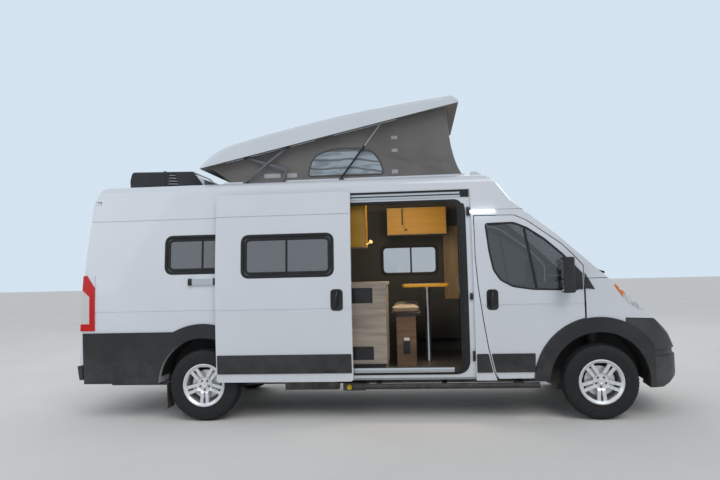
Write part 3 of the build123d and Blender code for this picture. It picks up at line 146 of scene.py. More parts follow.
class Finish:
    """A material built round its Principled shader."""

    def __init__(self, name, color, roughness, **shader):
        self.material = bpy.data.materials.new(name)
        self.material.use_nodes = True
        self.material.diffuse_color = (*color, 1.0)
        self.tree = self.material.node_tree
        self.shader = self.tree.nodes["Principled BSDF"]
        self.set("Base Color", (*color, 1.0))
        self.set("Roughness", roughness)
        for socket, value in shader.items():
            self.set(socket.replace("_", " "), value)

    def set(self, socket, value):
        """Feed one socket of the shader with a value or a signal."""
        self.feed(self.shader.inputs[socket], value)

    def feed(self, socket, value):
        """Link a signal to a socket, or write a value into it."""
        if isinstance(value, Signal):
            self.tree.links.new(value.socket, socket)
        else:
            socket.default_value = value

    def node(self, kind, settings=None, sockets=None, output=0):
        """Add a node: its settings first, then the values or links of its sockets."""
        node = self.tree.nodes.new(kind)
        for key, value in (settings or {}).items():
            setattr(node, key, value)
        for key, value in (sockets or {}).items():
            self.feed(node.inputs[key], value)
        return Signal(self, node.outputs[output])

    def place(self, scale=(1.0, 1.0, 1.0)):
        """Object coordinates in metres, stretched."""
        here = self.node("ShaderNodeTexCoord", output="Object")
        return self.node("ShaderNodeMapping", None, {"Vector": here, "Scale": scale})

    def axis(self, which, place=None):
        """One coordinate of a place."""
        return self.node("ShaderNodeSeparateXYZ", None, {0: place or self.place()}, which)

    def noise(self, scale, detail=3.0, place=None, rough=0.5):
        """Clouds of a size of 1 / scale, with finer ones over them."""
        sockets = {"Vector": place or self.place(), "Scale": scale, "Detail": detail, "Roughness": rough}
        return self.node("ShaderNodeTexNoise", None, sockets)

    def cells(self, scale, feature="F1"):
        """Distance from the nearest of many scattered points."""
        sockets = {"Vector": self.place(), "Scale": scale}
        return self.node("ShaderNodeTexVoronoi", {"feature": feature}, sockets)

    def mix(self, factor, first, second):
        """Two colours mixed by a signal from 0 to 1."""
        pair = [value if isinstance(value, Signal) else (*value, 1.0) for value in (first, second)]
        return self.node("ShaderNodeMix", {"data_type": "RGBA"}, {0: factor, 6: pair[0], 7: pair[1]}, 2)

    def bump(self, height, distance):
        """Raise the surface by a signal, distance metres for each unit."""
        sockets = {"Height": height, "Distance": distance, "Strength": 1.0}
        self.set("Normal", self.node("ShaderNodeBump", None, sockets))


def dimmed(color, share, lift=0.0):
    """A colour times a share, plus a little grey."""
    return tuple(value * share + lift for value in color)


# %% [markdown]
# ## Paint, plastic, metal, rubber
# Van paint is a white base under clear coat. What keeps it from looking like plastic is slight: a coat
# that reflects sharply, a skin with a faint ripple, and road dust that thickens towards the sills. The
# same dust goes on the plastics and the wheels, so one function works it out from height.

# %% Finishes of the outside
DUST_TOP = 0.95
PALE_DUST, DULL_DUST, METAL_DUST = (0.46, 0.40, 0.33), (0.24, 0.21, 0.175), (0.30, 0.27, 0.23)
WHITE = (0.69, 0.72, 0.77)


def road_dust(finish, top, amount):
    """Dust mask: amount at the ground, fading to none at height top, broken by noise."""
    fade = 1.0 - finish.axis("Z").ramp(0.0, top)
    return fade * finish.noise(9.0, 5.0).ramp(0.25, 0.85) * amount


def painted(name, color, dust, lining):
    """Clear-coated paint with a faint ripple and dust low down. Faces that face the middle plane carry the
    van's lining colour; faces that face down from above head height take that colour as painted shade."""
    finish = Finish(name, color, 0.42, Coat_Weight=0.9, Coat_Roughness=0.06)
    base = finish.mix(finish.noise(1.3, 2.0).ramp(0.3, 0.7), color, dimmed(color, 0.97))
    dirty = finish.mix(road_dust(finish, DUST_TOP, dust), base, PALE_DUST)
    facing = finish.node("ShaderNodeNewGeometry", output="Normal")
    inward = (finish.axis("Y", facing) * finish.axis("Y")) < -0.22
    painted_shade_underside = (finish.axis("Z", facing) < -0.6) * (finish.axis("Z") > 2.05)
    inside = inward.most(painted_shade_underside)
    # Inward faces get the lining colour as lining, undersides above head height get it as painted shade.
    finish.set("Base Color", finish.mix(inside, dirty, lining))
    finish.set("Coat Weight", 0.9 - 0.88 * inside)
    finish.set("Roughness", 0.40 + 0.25 * road_dust(finish, DUST_TOP, 1.0) + 0.3 * inside)
    finish.bump(finish.noise(260.0, 1.0), 0.00004)
    return finish.material


def moulded(name, color, roughness, grain=900.0, depth=0.00012, dust=0.3):
    """Moulded plastic with a fine pitted grain, faded in patches."""
    finish = Finish(name, color, roughness, Specular_IOR_Level=0.4)
    pits = finish.cells(grain)
    base = finish.mix(finish.noise(3.0, 4.0).ramp(0.4, 0.75), color, dimmed(color, 1.35, 0.006))
    finish.set("Base Color", finish.mix(road_dust(finish, 1.0, dust), base, DULL_DUST))
    finish.set("Roughness", roughness + 0.12 * (pits.ramp(0.1, 0.6) - 0.5))
    finish.bump(pits, depth)
    return finish.material


def bare_metal(name, color, roughness, metallic=1.0, grain=(1.0, 1.0, 1.0), dust=0.0):
    """Cast or drawn metal: a stretched grain in roughness and a light bump."""
    finish = Finish(name, color, roughness, Metallic=metallic)
    grainy = finish.noise(60.0, 4.0, finish.place(grain))
    base = finish.mix(grainy.ramp(0.35, 0.75), color, dimmed(color, 0.82))
    finish.set("Base Color", finish.mix(road_dust(finish, 0.9, dust), base, METAL_DUST))
    finish.set("Roughness", roughness + 0.18 * (grainy - 0.5))
    finish.bump(grainy, 0.00005)
    return finish.material


def rubber(name, color, roughness):
    """Rubber: nearly black, browned by dust, with a soft mottle."""
    finish = Finish(name, color, roughness, Specular_IOR_Level=0.35)
    mottle = finish.noise(22.0, 5.0)
    finish.set("Base Color", finish.mix(mottle.ramp(0.45, 0.8) * 0.4, color, (0.045, 0.042, 0.038)))
    finish.set("Roughness", roughness + 0.2 * (mottle - 0.5))
    finish.bump(finish.noise(420.0, 2.0), 0.00012)
    return finish.material


def glazed(name, color, alpha, clear=None):
    """Tinted glass: what it lets through is one less its alpha. It may be clear ahead of the living space
    and in the far wall, where no privacy tint is used."""
    polish = 0.02
    finish = Finish(name, color, polish, Specular_IOR_Level=0.8, Coat_Weight=1.0, Coat_Roughness=0.01)
    smear = finish.noise(2.2, 3.0).ramp(0.3, 0.9)
    cover = alpha + 0.05 * smear
    if clear is not None:
        far = (finish.axis("Y") > 0.8) * (finish.axis("X") > -0.2)
        plain = (finish.axis("X") > 1.2).most(far)
        cover = cover * (1.0 - plain) + clear * plain
    finish.set("Alpha", cover)
    finish.set("Roughness", polish + 0.04 * smear)
    return finish.material


EVEN = (1.0, 1.0, 1.0)
# The last colour is the lining of inward faces and the painted shade of undersides above head height: dark grey
# under the roof, warm brown-grey under the lid and its base.
white_paint = painted("white_paint", WHITE, 0.22, (0.07, 0.068, 0.065))
white_gel = painted("white_gel", (0.67, 0.71, 0.76), 0.0, (0.16, 0.14, 0.12))
black_plastic = moulded("black_plastic", (0.018, 0.019, 0.021), 0.56)
grey_plastic = moulded("grey_plastic", (0.045, 0.047, 0.05), 0.48, 1400.0, 0.00008)
gloss_black = moulded("gloss_black", (0.012, 0.012, 0.013), 0.22, 300.0, 0.00002, 0.05)
yellow_plastic = moulded("yellow_plastic", (0.72, 0.50, 0.02), 0.45, 900.0, 0.00008, 0.0)
trim_panel = moulded("trim_panel", (0.055, 0.057, 0.062), 0.6, 1200.0, 0.00008, 0.0)
alloy = bare_metal("alloy", (0.82, 0.82, 0.83), 0.36, 0.55, EVEN, 0.12)
dark_steel = bare_metal("dark_steel", (0.055, 0.052, 0.05), 0.62, 0.4, EVEN, 0.6)
bright_metal = bare_metal("bright_metal", (0.58, 0.59, 0.60), 0.34, 1.0, (1.0, 30.0, 30.0))
arm_metal = bare_metal("arm_metal", (0.16, 0.16, 0.17), 0.4, 0.9, (1.0, 30.0, 1.0))
mirror_silver = bare_metal("mirror_silver", (0.75, 0.77, 0.79), 0.05)
tyre_rubber = rubber("tyre_rubber", (0.013, 0.013, 0.014), 0.72)
seal_rubber = rubber("seal_rubber", (0.012, 0.012, 0.013), 0.6)
privacy_glass = glazed("privacy_glass", (0.135, 0.14, 0.15), 0.88, 0.30)
cab_glass = glazed("cab_glass", (0.035, 0.038, 0.042), 0.62)
print("finishes of the outside:", len(bpy.data.materials))

# %% [markdown]
# ## Lamps
# A lamp lens is clear plastic over a bright bowl. Seen from a step away the bowl reads as silver with
# dark ribs and an amber rear tip, and the tail lamps as red with pale panes, so the colour follows place
# on the lens itself. A lit lens gives off its own light.


# %% Finishes of the lamps
def lamp_clear(name):
    """Clear lens over a ribbed silver bowl: bands along a slant mix silver with smoke. It is amber behind
    the line x = 2.05 + 0.35 z."""
    finish = Finish(name, (0.7, 0.72, 0.75), 0.08, Metallic=0.35, Coat_Weight=1.0, Coat_Roughness=0.02)
    ribs = (finish.axis("X") * 160.0 + finish.axis("Z") * 60.0).wave().ramp(-0.2, 0.6)
    cells = finish.cells(14.0, feature="SMOOTH_F1").ramp(0.2, 0.75)
    bright = finish.mix(ribs * 0.5, (0.86, 0.88, 0.90), (0.42, 0.43, 0.45))
    smoked = finish.mix(cells * 0.45, bright, (0.10, 0.10, 0.10))
    rear = 1.0 - (finish.axis("X") - 0.35 * finish.axis("Z")).ramp(2.035, 2.065)
    finish.set("Base Color", finish.mix(rear, smoked, (0.80, 0.20, 0.02)))
    finish.bump(ribs, 0.0004)
    return finish.material


def lamp_red(name, pane_low, pane_high):
    """Red lens with fine prisms, and pale reversing panes at its rear edge between two heights. Its top
    front corner is a painted cover, forward of the line x = -2.95 - 0.66 (z - 1.385)."""
    gloss = {"Coat_Weight": 0.25, "Coat_Roughness": 0.03, "Specular_IOR_Level": 0.25}
    finish = Finish(name, (0.42, 0.012, 0.012), 0.22, **gloss)
    along, height = finish.axis("X"), finish.axis("Z")
    cover = (along + 0.66 * (height - 1.385)) > -2.95
    pane = (height > pane_low) * ((height + 0.9 * (along + 3.06)) < pane_high) * (along < -3.030)
    prisms = (height * 900.0).wave().ramp(-0.6, 0.6)
    glow = finish.mix(prisms * 0.35, (0.60, 0.004, 0.004), (0.36, 0.002, 0.002))
    finish.set("Base Color", finish.mix(cover, finish.mix(pane, glow, (0.62, 0.60, 0.58)), WHITE))
    finish.bump(prisms, 0.0002)
    return finish.material


def glowing(name, color, strength):
    """A lit lens: light at the stated strength, broken by small emitters."""
    finish = Finish(name, color, 0.3, Emission_Strength=strength)
    dots = finish.cells(60.0).ramp(0.1, 0.7)
    finish.set("Emission Color", finish.mix(dots * 0.3, color, dimmed(color, 0.8)))
    return finish.material


headlamp = lamp_clear("headlamp")
tail_lamp = lamp_red("tail_lamp", 1.03, 1.345)
lit_white = glowing("lit_white", (0.9, 0.94, 1.0), 1.5)
lit_warm = glowing("lit_warm", (1.0, 0.60, 0.22), 0.8)
amber_lens = glowing("amber_lens", (0.75, 0.24, 0.02), 0.15)
print("finishes with the lamps:", len(bpy.data.materials))

# %% [markdown]
# ## Wood, canvas and upholstery
# Cabinet board has a printed grain: long streaks along one axis, a few darker bands and no knots to
# speak of. Cloth is a weave, which is two waves at right angles whose crests pass over and under. The
# window in the canvas is a slack clear film, and what one sees of it is the sky reflected in its waves,
# so its colour is painted reflection.


# %% Finishes of the inside
def wooden(name, light, dark, grain_axis):
    """Board with grain along one axis: noise stretched twelve times, and finer pores over it."""
    finish = Finish(name, light, 0.5, Specular_IOR_Level=0.35)
    long, fine = [11.0, 11.0, 11.0], [260.0, 260.0, 260.0]
    long[grain_axis], fine[grain_axis] = 0.9, 7.0
    streaks = finish.noise(1.6, 6.0, finish.place(tuple(long)), 0.62)
    pores = finish.noise(1.0, 2.0, finish.place(tuple(fine)))
    base = finish.mix(streaks.ramp(0.32, 0.70), light, dark)
    finish.set("Base Color", finish.mix(pores.ramp(0.5, 0.8) * 0.35, base, dimmed(dark, 0.55)))
    finish.set("Roughness", 0.5 + 0.15 * (pores - 0.5))
    finish.bump(pores, 0.00008)
    return finish.material


def woven(name, color, pitch, depth, fleck, amount=0.3):
    """Cloth: warp and weft waves of one pitch, the crest of one over the trough of the other."""
    finish = Finish(name, color, 0.85, Sheen_Weight=0.25, Sheen_Roughness=0.4, Specular_IOR_Level=0.25)
    turns = 2 * math.pi / pitch
    weft = ((finish.axis("Z") + finish.axis("Y")) * turns).wave()
    weave = (finish.axis("X") * turns).wave() * weft
    base = finish.mix(finish.noise(2.4, 4.0).ramp(0.35, 0.75), color, dimmed(color, 0.8))
    finish.set("Base Color", finish.mix(weave.ramp(0.0, 1.0) * amount, base, fleck))
    finish.bump(weave, depth)
    return finish.material


def film(name):
    """Clear film that hangs in shallow waves. Its colour is painted reflection: pale bands of sky between
    thin dark ones, as it is seen.
    """
    finish = Finish(name, (0.34, 0.40, 0.46), 0.14, Coat_Weight=1.0, Coat_Roughness=0.05)
    height = finish.axis("Z") + 0.09 * finish.noise(2.6, 2.0) + 0.05 * finish.axis("X")
    bands = (height * 62.0).wave().ramp(0.55, 0.95)
    patch = finish.noise(5.0, 2.0, finish.place((1.0, 1.0, 4.0))).ramp(0.4, 0.62)
    # Painted reflection: patches of pale sky, with thin dark bands over them.
    pale = finish.mix(patch, (0.40, 0.47, 0.53), (0.24, 0.27, 0.30))
    finish.set("Base Color", finish.mix(bands * 0.85, pale, (0.07, 0.07, 0.075)))
    finish.set("Alpha", 0.84 + 0.1 * bands)
    finish.bump(bands, 0.003)
    return finish.material


X, Y, Z = 0, 1, 2
drift_wood = wooden("drift_wood", (0.40, 0.34, 0.28), (0.25, 0.205, 0.165), X)
warm_wood = wooden("warm_wood", (0.42, 0.225, 0.016), (0.35, 0.180, 0.012), X)
panel_wood = wooden("panel_wood", (0.25, 0.17, 0.09), (0.18, 0.115, 0.06), Z)
floor_vinyl = wooden("floor_vinyl", (0.075, 0.068, 0.06), (0.05, 0.045, 0.04), X)
brown_wood = wooden("brown_wood", (0.20, 0.125, 0.075), (0.12, 0.072, 0.042), X)
seat_cloth = woven("seat_cloth", (0.052, 0.054, 0.056), 0.004, 0.0003, (0.09, 0.093, 0.096))
tan_cloth = woven("tan_cloth", (0.42, 0.33, 0.23), 0.003, 0.0003, (0.28, 0.21, 0.14))
canvas_cloth = woven("canvas_cloth", (0.20, 0.19, 0.185), 0.0025, 0.0002, (0.11, 0.105, 0.10), 0.35)
wall_carpet = woven("wall_carpet", (0.060, 0.066, 0.066), 0.0016, 0.0002, (0.10, 0.105, 0.105))
canvas_band = woven("canvas_band", (0.10, 0.098, 0.095), 0.002, 0.0002, (0.05, 0.05, 0.05))
tab_cloth = woven("tab_cloth", (0.44, 0.46, 0.48), 0.0022, 0.0002, (0.34, 0.36, 0.38))
canvas_window = film("canvas_window")
print("finishes in all:", len(bpy.data.materials))

# %% [markdown]
# ## Dressing the rigid pieces
# Each node of the frame keeps its mesh and gets one finish. A table says which, so that a piece is
# found at a glance.

# %% Finishes on the nodes
CORNERS = ("front_right", "front_left", "rear_right", "rear_left")
DRESS = [
    (white_paint, "side_wall_right side_wall_left roof hood fenders passenger_door driver_door"),
    (white_paint, "sliding_door rear_door_right rear_door_left"),
    (white_gel, "pop_top_lid pop_top_base"),
    (black_plastic, "cladding bumper_rear grille step_bar mirror_passenger mirror_driver"),
    (black_plastic, "air_conditioner firewall wheel_housings_front wheel_housings_rear"),
    (grey_plastic, "bumper_front"),
    (gloss_black, "strut_tubes"),
    (trim_panel, "dashboard"),
    (dark_steel, "underbody floor front_subframe engine rear_axle knuckle_right knuckle_left"),
    (bright_metal, "door_rails strut_rods"),
    (arm_metal, "lift_brackets lift_arms_straight lift_arms_cranked"),
    (privacy_glass, "fixed_glass rear_door_right_glass rear_door_left_glass"),
    (cab_glass, "passenger_door_glass driver_door_glass"),
    (headlamp, "headlamps"),
    (tail_lamp, "tail_lamps"),
    (lit_white, "light_bar"),
    (canvas_cloth, "pop_top_canvas"),
    (seat_cloth, "cab_seats"),
    (tan_cloth, "cushions"),
    (drift_wood, "galley_and_lockers"),
    (brown_wood, "bench_bed_and_table"),
    (tyre_rubber, " ".join(f"tyre_{corner}" for corner in CORNERS)),
    (alloy, " ".join(f"rim_{corner}" for corner in CORNERS)),
]
dressed = [(name, finish) for finish, names in DRESS for name in names.split()]
for name, finish in dressed:
    nodes[name].data.materials.clear()
    nodes[name].data.materials.append(finish)
print(len(dressed), "of", len(nodes), "nodes dressed")

# %% [markdown]
# ## Meshes from arrays
# A seal, a handle or a tyre is a simple shape repeated along a line. So a shape here is a pair: an array
# of corners and a list of faces. NumPy works out all corners at once from a formula, which is shorter
# and faster than moving them one by one, and one function turns the pair into an object.

# %% Mesh helpers
TURN = 2 * math.pi


def quads(rows, columns, wrap_rows=False, wrap_columns=False):
    """Corner numbers of the quads of a grid whose ends may meet."""
    index = np.arange(rows * columns).reshape(rows, columns)
    if wrap_rows:
        index = np.vstack([index, index[:1]])
    if wrap_columns:
        index = np.hstack([index, index[:, :1]])
    corners = [index[:-1, :-1], index[1:, :-1], index[1:, 1:], index[:-1, 1:]]
    return np.stack(corners, axis=-1).reshape(-1, 4).tolist()


def tube(rings):
    """Rings of corners joined by quads, with a cap on the first and on the last ring."""
    rings = np.asarray(rings)
    rows, columns = rings.shape[:2]
    caps = [list(range(columns)), list(range((rows - 1) * columns, rows * columns))]
    return rings.reshape(-1, 3), quads(rows, columns, False, True) + caps


def together(shapes):
    """One shape from several: the corners stacked, the face numbers moved on."""
    corners, faces, first = [], [], 0
    for shape_corners, shape_faces in shapes:
        corners.append(shape_corners)
        faces += [[first + number for number in face] for face in shape_faces]
        first += len(shape_corners)
    return np.vstack(corners), faces


def linked(name, mesh):
    """An object at the origin that holds a mesh."""
    made = bpy.data.objects.new(name, mesh)
    bpy.context.scene.collection.objects.link(made)
    return made


def piece(name, shape, finish, body="van", crease=35.0):
    """An object from (corners, faces), its faces turned outwards, riding on a body."""
    corners, faces = shape
    mesh = bpy.data.meshes.new(name)
    mesh.from_pydata(np.asarray(corners, dtype=float).tolist(), [], faces)
    build = bmesh.new()
    build.from_mesh(mesh)
    bmesh.ops.recalc_face_normals(build, faces=build.faces)
    build.to_mesh(mesh)
    build.free()
    mesh.polygons.foreach_set("use_smooth", [True] * len(mesh.polygons))
    mesh.set_sharp_from_angle(angle=math.radians(crease))
    mesh.materials.append(finish)
    made = linked(name, mesh)
    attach(made, body)
    print(name, len(faces), "faces")
    return made


def outline(points, radius, arc=6, run=6):
    """A closed outline with rounded corners, with as many points at every corner and on every side.

    A corner c becomes the quadratic curve (1-t)^2 a + 2t(1-t) c + t^2 b, where a and b lie radius
    before and after it. Two outlines made with the same counts match point by point.
    """
    corner = np.asarray(points, dtype=float)
    before = np.roll(corner, 1, axis=0) - corner
    after = np.roll(corner, -1, axis=0) - corner
    start = corner + radius * before / np.linalg.norm(before, axis=1, keepdims=True)
    end = corner + radius * after / np.linalg.norm(after, axis=1, keepdims=True)
    t = np.linspace(0.0, 1.0, arc)[None, :, None]
    curve = (1 - t) ** 2 * start[:, None] + 2 * t * (1 - t) * corner[:, None] + t**2 * end[:, None]
    s = np.linspace(0.0, 1.0, run + 2)[None, 1:-1, None]
    straight = (1 - s) * end[:, None] + s * np.roll(start, -1, axis=0)[:, None]
    return np.concatenate([curve, straight], axis=1).reshape(-1, corner.shape[1])


def oblong(from_1, to_1, from_2, to_2):
    """The four corners of a rectangle in two coordinates."""
    return [(from_1, from_2), (to_1, from_2), (to_1, to_2), (from_1, to_2)]


def in_plane(flat, axis, value):
    """Points of a flat outline in space: the coordinate that it lacks is a value, or one for each."""
    return np.insert(flat, axis, value, axis=1)


def sweep(path, outward, section, closed=True):
    """A section carried along a path.

    The section's first coordinate runs along side = tangent x outward, its second along outward, made
    square to the tangent.
    """
    path = np.asarray(path, dtype=float)
    if closed:
        ahead = np.roll(path, -1, axis=0) - np.roll(path, 1, axis=0)
    else:
        ahead = np.gradient(path, axis=0)
    tangent = ahead / np.linalg.norm(ahead, axis=1, keepdims=True)
    outward = np.broadcast_to(np.asarray(outward, dtype=float), path.shape)
    outward = outward - (outward * tangent).sum(axis=1, keepdims=True) * tangent
    outward = outward / np.linalg.norm(outward, axis=1, keepdims=True)
    side = np.cross(tangent, outward)
    across, out = np.asarray(section, dtype=float).T[..., None]
    rings = path[:, None] + across * side[:, None] + out * outward[:, None]
    if closed:
        return rings.reshape(-1, 3), quads(*rings.shape[:2], True, True)
    return tube(rings)


def round_section(radius, sides=10):
    """A circle as a section."""
    angle = np.linspace(0.0, TURN, sides, endpoint=False)
    return radius * np.stack([np.cos(angle), np.sin(angle)], axis=1)


def mirrored(left):
    """A section from its left half."""
    return left + [(-across, out) for across, out in reversed(left)]


def strip_section(width, height, base=0.0):
    """A flat bead with rounded shoulders: width across, from base up to height."""
    half = width / 2
    edge = min(half, height - base) * 0.45
    return mirrored([(-half, base), (-half, height - edge), (edge - half, height)])


def plate(edge, outward, profile):
    """A closed plate from a closed edge: rings shrunk to a share of it and raised by a height each."""
    edge = np.asarray(edge, dtype=float)
    centre = edge.mean(axis=0)
    outward = np.asarray(outward)
    return tube([centre + share * (edge - centre) + height * outward for share, height in profile])


def circle(centre, axis, radius, sides):
    """A circle of points about an axis."""
    axis = Vector(axis).normalized()
    across = axis.orthogonal().normalized()
    up = axis.cross(across)
    angle = np.linspace(0.0, TURN, sides, endpoint=False)[:, None]
    return np.asarray(centre) + radius * (np.cos(angle) * np.asarray(across) + np.sin(angle) * np.asarray(up))


def ring_panel(outer, inner, lift, thickness, rows):
    """A sheet with a hole, between two matching outlines of (x, z), laid on a surface by lift."""
    flat = outer + np.linspace(0.0, 1.0, rows)[:, None, None] * (inner - outer)
    front, back = (lift(flat[..., 0], flat[..., 1], rise) for rise in (0.0, -thickness))
    rings = np.concatenate([front, back[::-1]])
    return rings.reshape(-1, 3), quads(len(rings), len(outer), True, True)


# %% [markdown]
# ## The side of the body as a formula
# Seals, strips and handles lie on the van's side, which curves up and down and turns in towards the
# nose. The section of a van body is close to one circle, and its plan to a line and a circle. With those
# two circles the width at any place is known, and a piece drawn flat in side view can be laid on.


# %% The body's surface
def circle_through(first, second, third):
    """Centre and radius of the circle through three points."""
    (ax, ay), (bx, by), (cx, cy) = first, second, third
    a2, b2, c2 = ax * ax + ay * ay, bx * bx + by * by, cx * cx + cy * cy
    twice = 2 * (ax * (by - cy) + bx * (cy - ay) + cx * (ay - by))
    x = (a2 * (by - cy) + b2 * (cy - ay) + c2 * (ay - by)) / twice
    y = (a2 * (cx - bx) + b2 * (ax - cx) + c2 * (bx - ax)) / twice
    return x, y, math.hypot(ax - x, ay - y)


BOW_START = 1.7
SECTION_Y, SECTION_Z, SECTION_RADIUS = circle_through((0.985, 0.395), (1.014, 1.05), (0.892, 2.4))
PLAN_X, PLAN_Y, PLAN_RADIUS = circle_through((BOW_START, 1.02), (2.35, 1.0), (2.82, 0.9))
PASSENGER, DRIVER = -1, 1
SIDES = ((PASSENGER, "right"), (DRIVER, "left"))


def half_width(x, z):
    """Half the body's width: y = y0 + sqrt(r^2 - d^2) on the circle of the section or of the plan."""
    section = SECTION_Y + np.sqrt(SECTION_RADIUS**2 - (z - SECTION_Z) ** 2)
    bow = PLAN_Y + np.sqrt(np.maximum(PLAN_RADIUS**2 - (x - PLAN_X) ** 2, 0.0))
    return np.where(x < BOW_START, section, np.minimum(section, bow))


def on_side(side, proud=0.0):
    """A function that lays (x, z) on one side of the body, or proud of it."""

    def lift(x, z, rise=0.0):
        return np.stack([x, side * (half_width(x, z) + proud + rise), z], axis=-1)

    return lift


def laid(flat, lift):
    """Points of an outline laid on a surface."""
    return lift(flat[:, 0], flat[:, 1])


print("half width at the waist", round(float(half_width(np.array(0.0), np.array(1.05))), 4))

# %% [markdown]
# ## Window frames, seals and strips
# A caravan window is a tinted pane in a dark frame that stands a few millimetres proud, with a bar
# where the sliding half meets the fixed one. Each frame is one bead swept round the rounded outline, which
# gives a true rounded frame, while a cut-out in a flat ring would lose the body's curve.


# %% Side windows
def bead(flat, side, section, proud=0.0, closed=True):
    """A section swept along a flat line that is laid on one side of the body."""
    return sweep(laid(flat, on_side(side, proud)), (0.0, side, 0.0), section, closed)


DOOR_SLID, DOOR_OUT = -1.228, 0.088
WINDOWS = [
    ("quarter_right", PASSENGER, 0.0, 0.0, (-2.195, -1.290, 1.545, 1.930), -1.80),
    ("quarter_left", DRIVER, 0.0, 0.0, (-2.195, -1.290, 1.545, 1.930), -1.72),
    ("sliding", PASSENGER, DOOR_SLID, DOOR_OUT, (-0.120, 0.822, 1.487, 1.910), 0.345),
    ("far", DRIVER, 0.0, 0.0, (-0.010, 0.710, 1.470, 1.830), 0.371),
]
INNER = 0.034
for name, side, slid, out, (rear, front, low, high), bar_x in WINDOWS:
    rear, front, bar_x = rear + slid, front + slid, bar_x + slid
    edge = outline(oblong(rear, front, low, high), 0.075, 8, 8)
    bar = np.linspace((bar_x, low + 0.004), (bar_x, high - 0.004), 12)
    parts = [
        bead(edge, side, strip_section(0.034, 0.006, -0.014), out),
        bead(bar, side, strip_section(0.022, -0.001, -0.013), out, closed=False),
    ]
    if side == PASSENGER:
        inner = outline(oblong(rear + INNER, front - INNER, low + INNER, high - INNER), 0.055, 8, 8)
        parts.append(bead(inner, side, strip_section(0.030, 0.001, -0.013), out))
    piece(f"window_frame_{name}", together(parts), seal_rubber)

DOOR_WINDOW = [
    (1.155, 1.972), (1.440, 1.976), (1.567, 1.920), (1.734, 1.803), (1.898, 1.652), (2.036, 1.502),
    (2.040, 1.284), (1.604, 1.299), (1.402, 1.332), (1.284, 1.400), (1.219, 1.502), (1.183, 1.691),
]
for body, side in (("passenger_door", PASSENGER), ("driver_door", DRIVER)):
    bar = np.linspace((1.540, 1.915), (1.640, 1.300), 10)
    parts = [
        bead(outline(DOOR_WINDOW, 0.028, 5, 3), side, strip_section(0.020, 0.003, -0.012)),
        bead(bar, side, strip_section(0.026, -0.001, -0.013), closed=False),
    ]
    piece(f"{body}_window_seal", together(parts), seal_rubber, body)

# %% [markdown]
# The strips low on the doors take the knocks of car parks. They are thick moulded plastic with chamfered
# ends, slanted where the door's edge slants, so each is drawn by its own corners. A handle is a dished
# plate with a bowed bar over it.


# %% Door strips and handles
def pad(flat, side, profile, proud=0.0):
    """A plate with a flat outline that is laid on one side of the body."""
    return plate(laid(flat, on_side(side, proud)), (0.0, side, 0.0), profile)


BEVELLED = [(1.0, -0.004), (1.0, 0.006), (0.985, 0.010)]
DOOR_STRIP = [(1.212, 0.474), (1.600, 0.474), (1.604, 0.662), (1.172, 0.662)]
PILLAR_STRIP = [(1.026, 0.474), (1.184, 0.474), (1.142, 0.662), (1.026, 0.662)]
STRIPS = [
    ("strip_sliding", "van", PASSENGER, DOOR_OUT, oblong(-1.622, -0.232, 0.497, 0.690)),
    ("strip_pillar", "van", PASSENGER, 0.0, PILLAR_STRIP),
    ("strip_passenger", "passenger_door", PASSENGER, 0.0, DOOR_STRIP),
    ("strip_driver", "driver_door", DRIVER, 0.0, DOOR_STRIP),
]
for name, body, side, out, corners in STRIPS:
    piece(name, pad(outline(corners, 0.008, 3, 16), side, BEVELLED, out), black_plastic, body)

HANDLES = [
    ("passenger_door_handle", "passenger_door", PASSENGER, 0.0, (1.140, 1.256, 1.100, 1.308)),
    ("driver_door_handle", "driver_door", DRIVER, 0.0, (1.140, 1.256, 1.100, 1.308)),
    ("sliding_door_handle", "van", PASSENGER, DOOR_OUT, (-0.432, -0.306, 1.129, 1.346)),
]
HANDLE_DISH = [(1.0, -0.004), (1.0, 0.004), (0.93, 0.008), (0.80, 0.006), (0.70, 0.002), (0.45, 0.0015)]
for name, body, side, out, (rear, front, low, high) in HANDLES:
    dish = pad(outline(oblong(rear, front, low, high), 0.042, 7, 4), side, HANDLE_DISH, out)
    middle = (rear + front) / 2
    grip = np.linspace((middle - 0.012, low + 0.030), (middle + 0.004, high - 0.030), 9)
    path = laid(grip, on_side(side, out))
    path[:, Y] += side * (0.004 + 0.022 * np.sin(np.linspace(0.0, math.pi, 9)) ** 0.5)
    bar = sweep(path, (0.0, side, 0.0), round_section(0.015, 12), closed=False)
    piece(name, together([dish, bar]), gloss_black, body)

# %% [markdown]
# ## The doorway
# A broad rubber seal runs round the doorway on a flange that is set back from the skin, with a large
# radius in each corner. Along the sill lies a bright track for the door's lower roller, and above the
# doorway the upper rail shows as bright lips on dark strips, which are painted shadow in its slot.

# %% Doorway trim
FLANGE = -0.026
trim_outer = outline(oblong(-0.410, 0.962, 0.455, 2.262), 0.15, 8, 10)
trim_inner = outline(oblong(-0.338, 0.885, 0.478, 2.218), 0.125, 8, 10)
trim = ring_panel(trim_outer, trim_inner, on_side(PASSENGER, FLANGE), 0.006, 4)
piece("doorway_trim", trim, seal_rubber)
lip = outline(oblong(-0.336, 0.888, 0.476, 2.220), 0.125, 8, 10)
piece("doorway_seal", bead(lip, PASSENGER, round_section(0.012, 12), FLANGE), seal_rubber)
sill_line = np.linspace((-0.330, 0.500), (0.800, 0.500), 20)
sill_section = mirrored([(-0.026, -0.03), (-0.026, 0.0), (-0.010, 0.003), (-0.006, -0.004)])
piece("sill_track", bead(sill_line, PASSENGER, sill_section, -0.018, closed=False), bright_metal)


def around(x, z, half_x, half_z):
    """The four corners of an upright rectangle about its middle."""
    return oblong(x - half_x, x + half_x, z - half_z, z + half_z)


STRIKERS = [(0.990, 2.110, 0.018, 0.045), (0.992, 1.240, 0.014, 0.034), (1.000, 0.640, 0.012, 0.052)]
STRIKER = [(1.0, 0.0), (1.0, 0.014), (0.8, 0.018)]
strikers = [pad(outline(around(*sizes), 0.008, 4, 2), PASSENGER, STRIKER, -0.024) for sizes in STRIKERS]
piece("door_strikers", together(strikers), gloss_black)
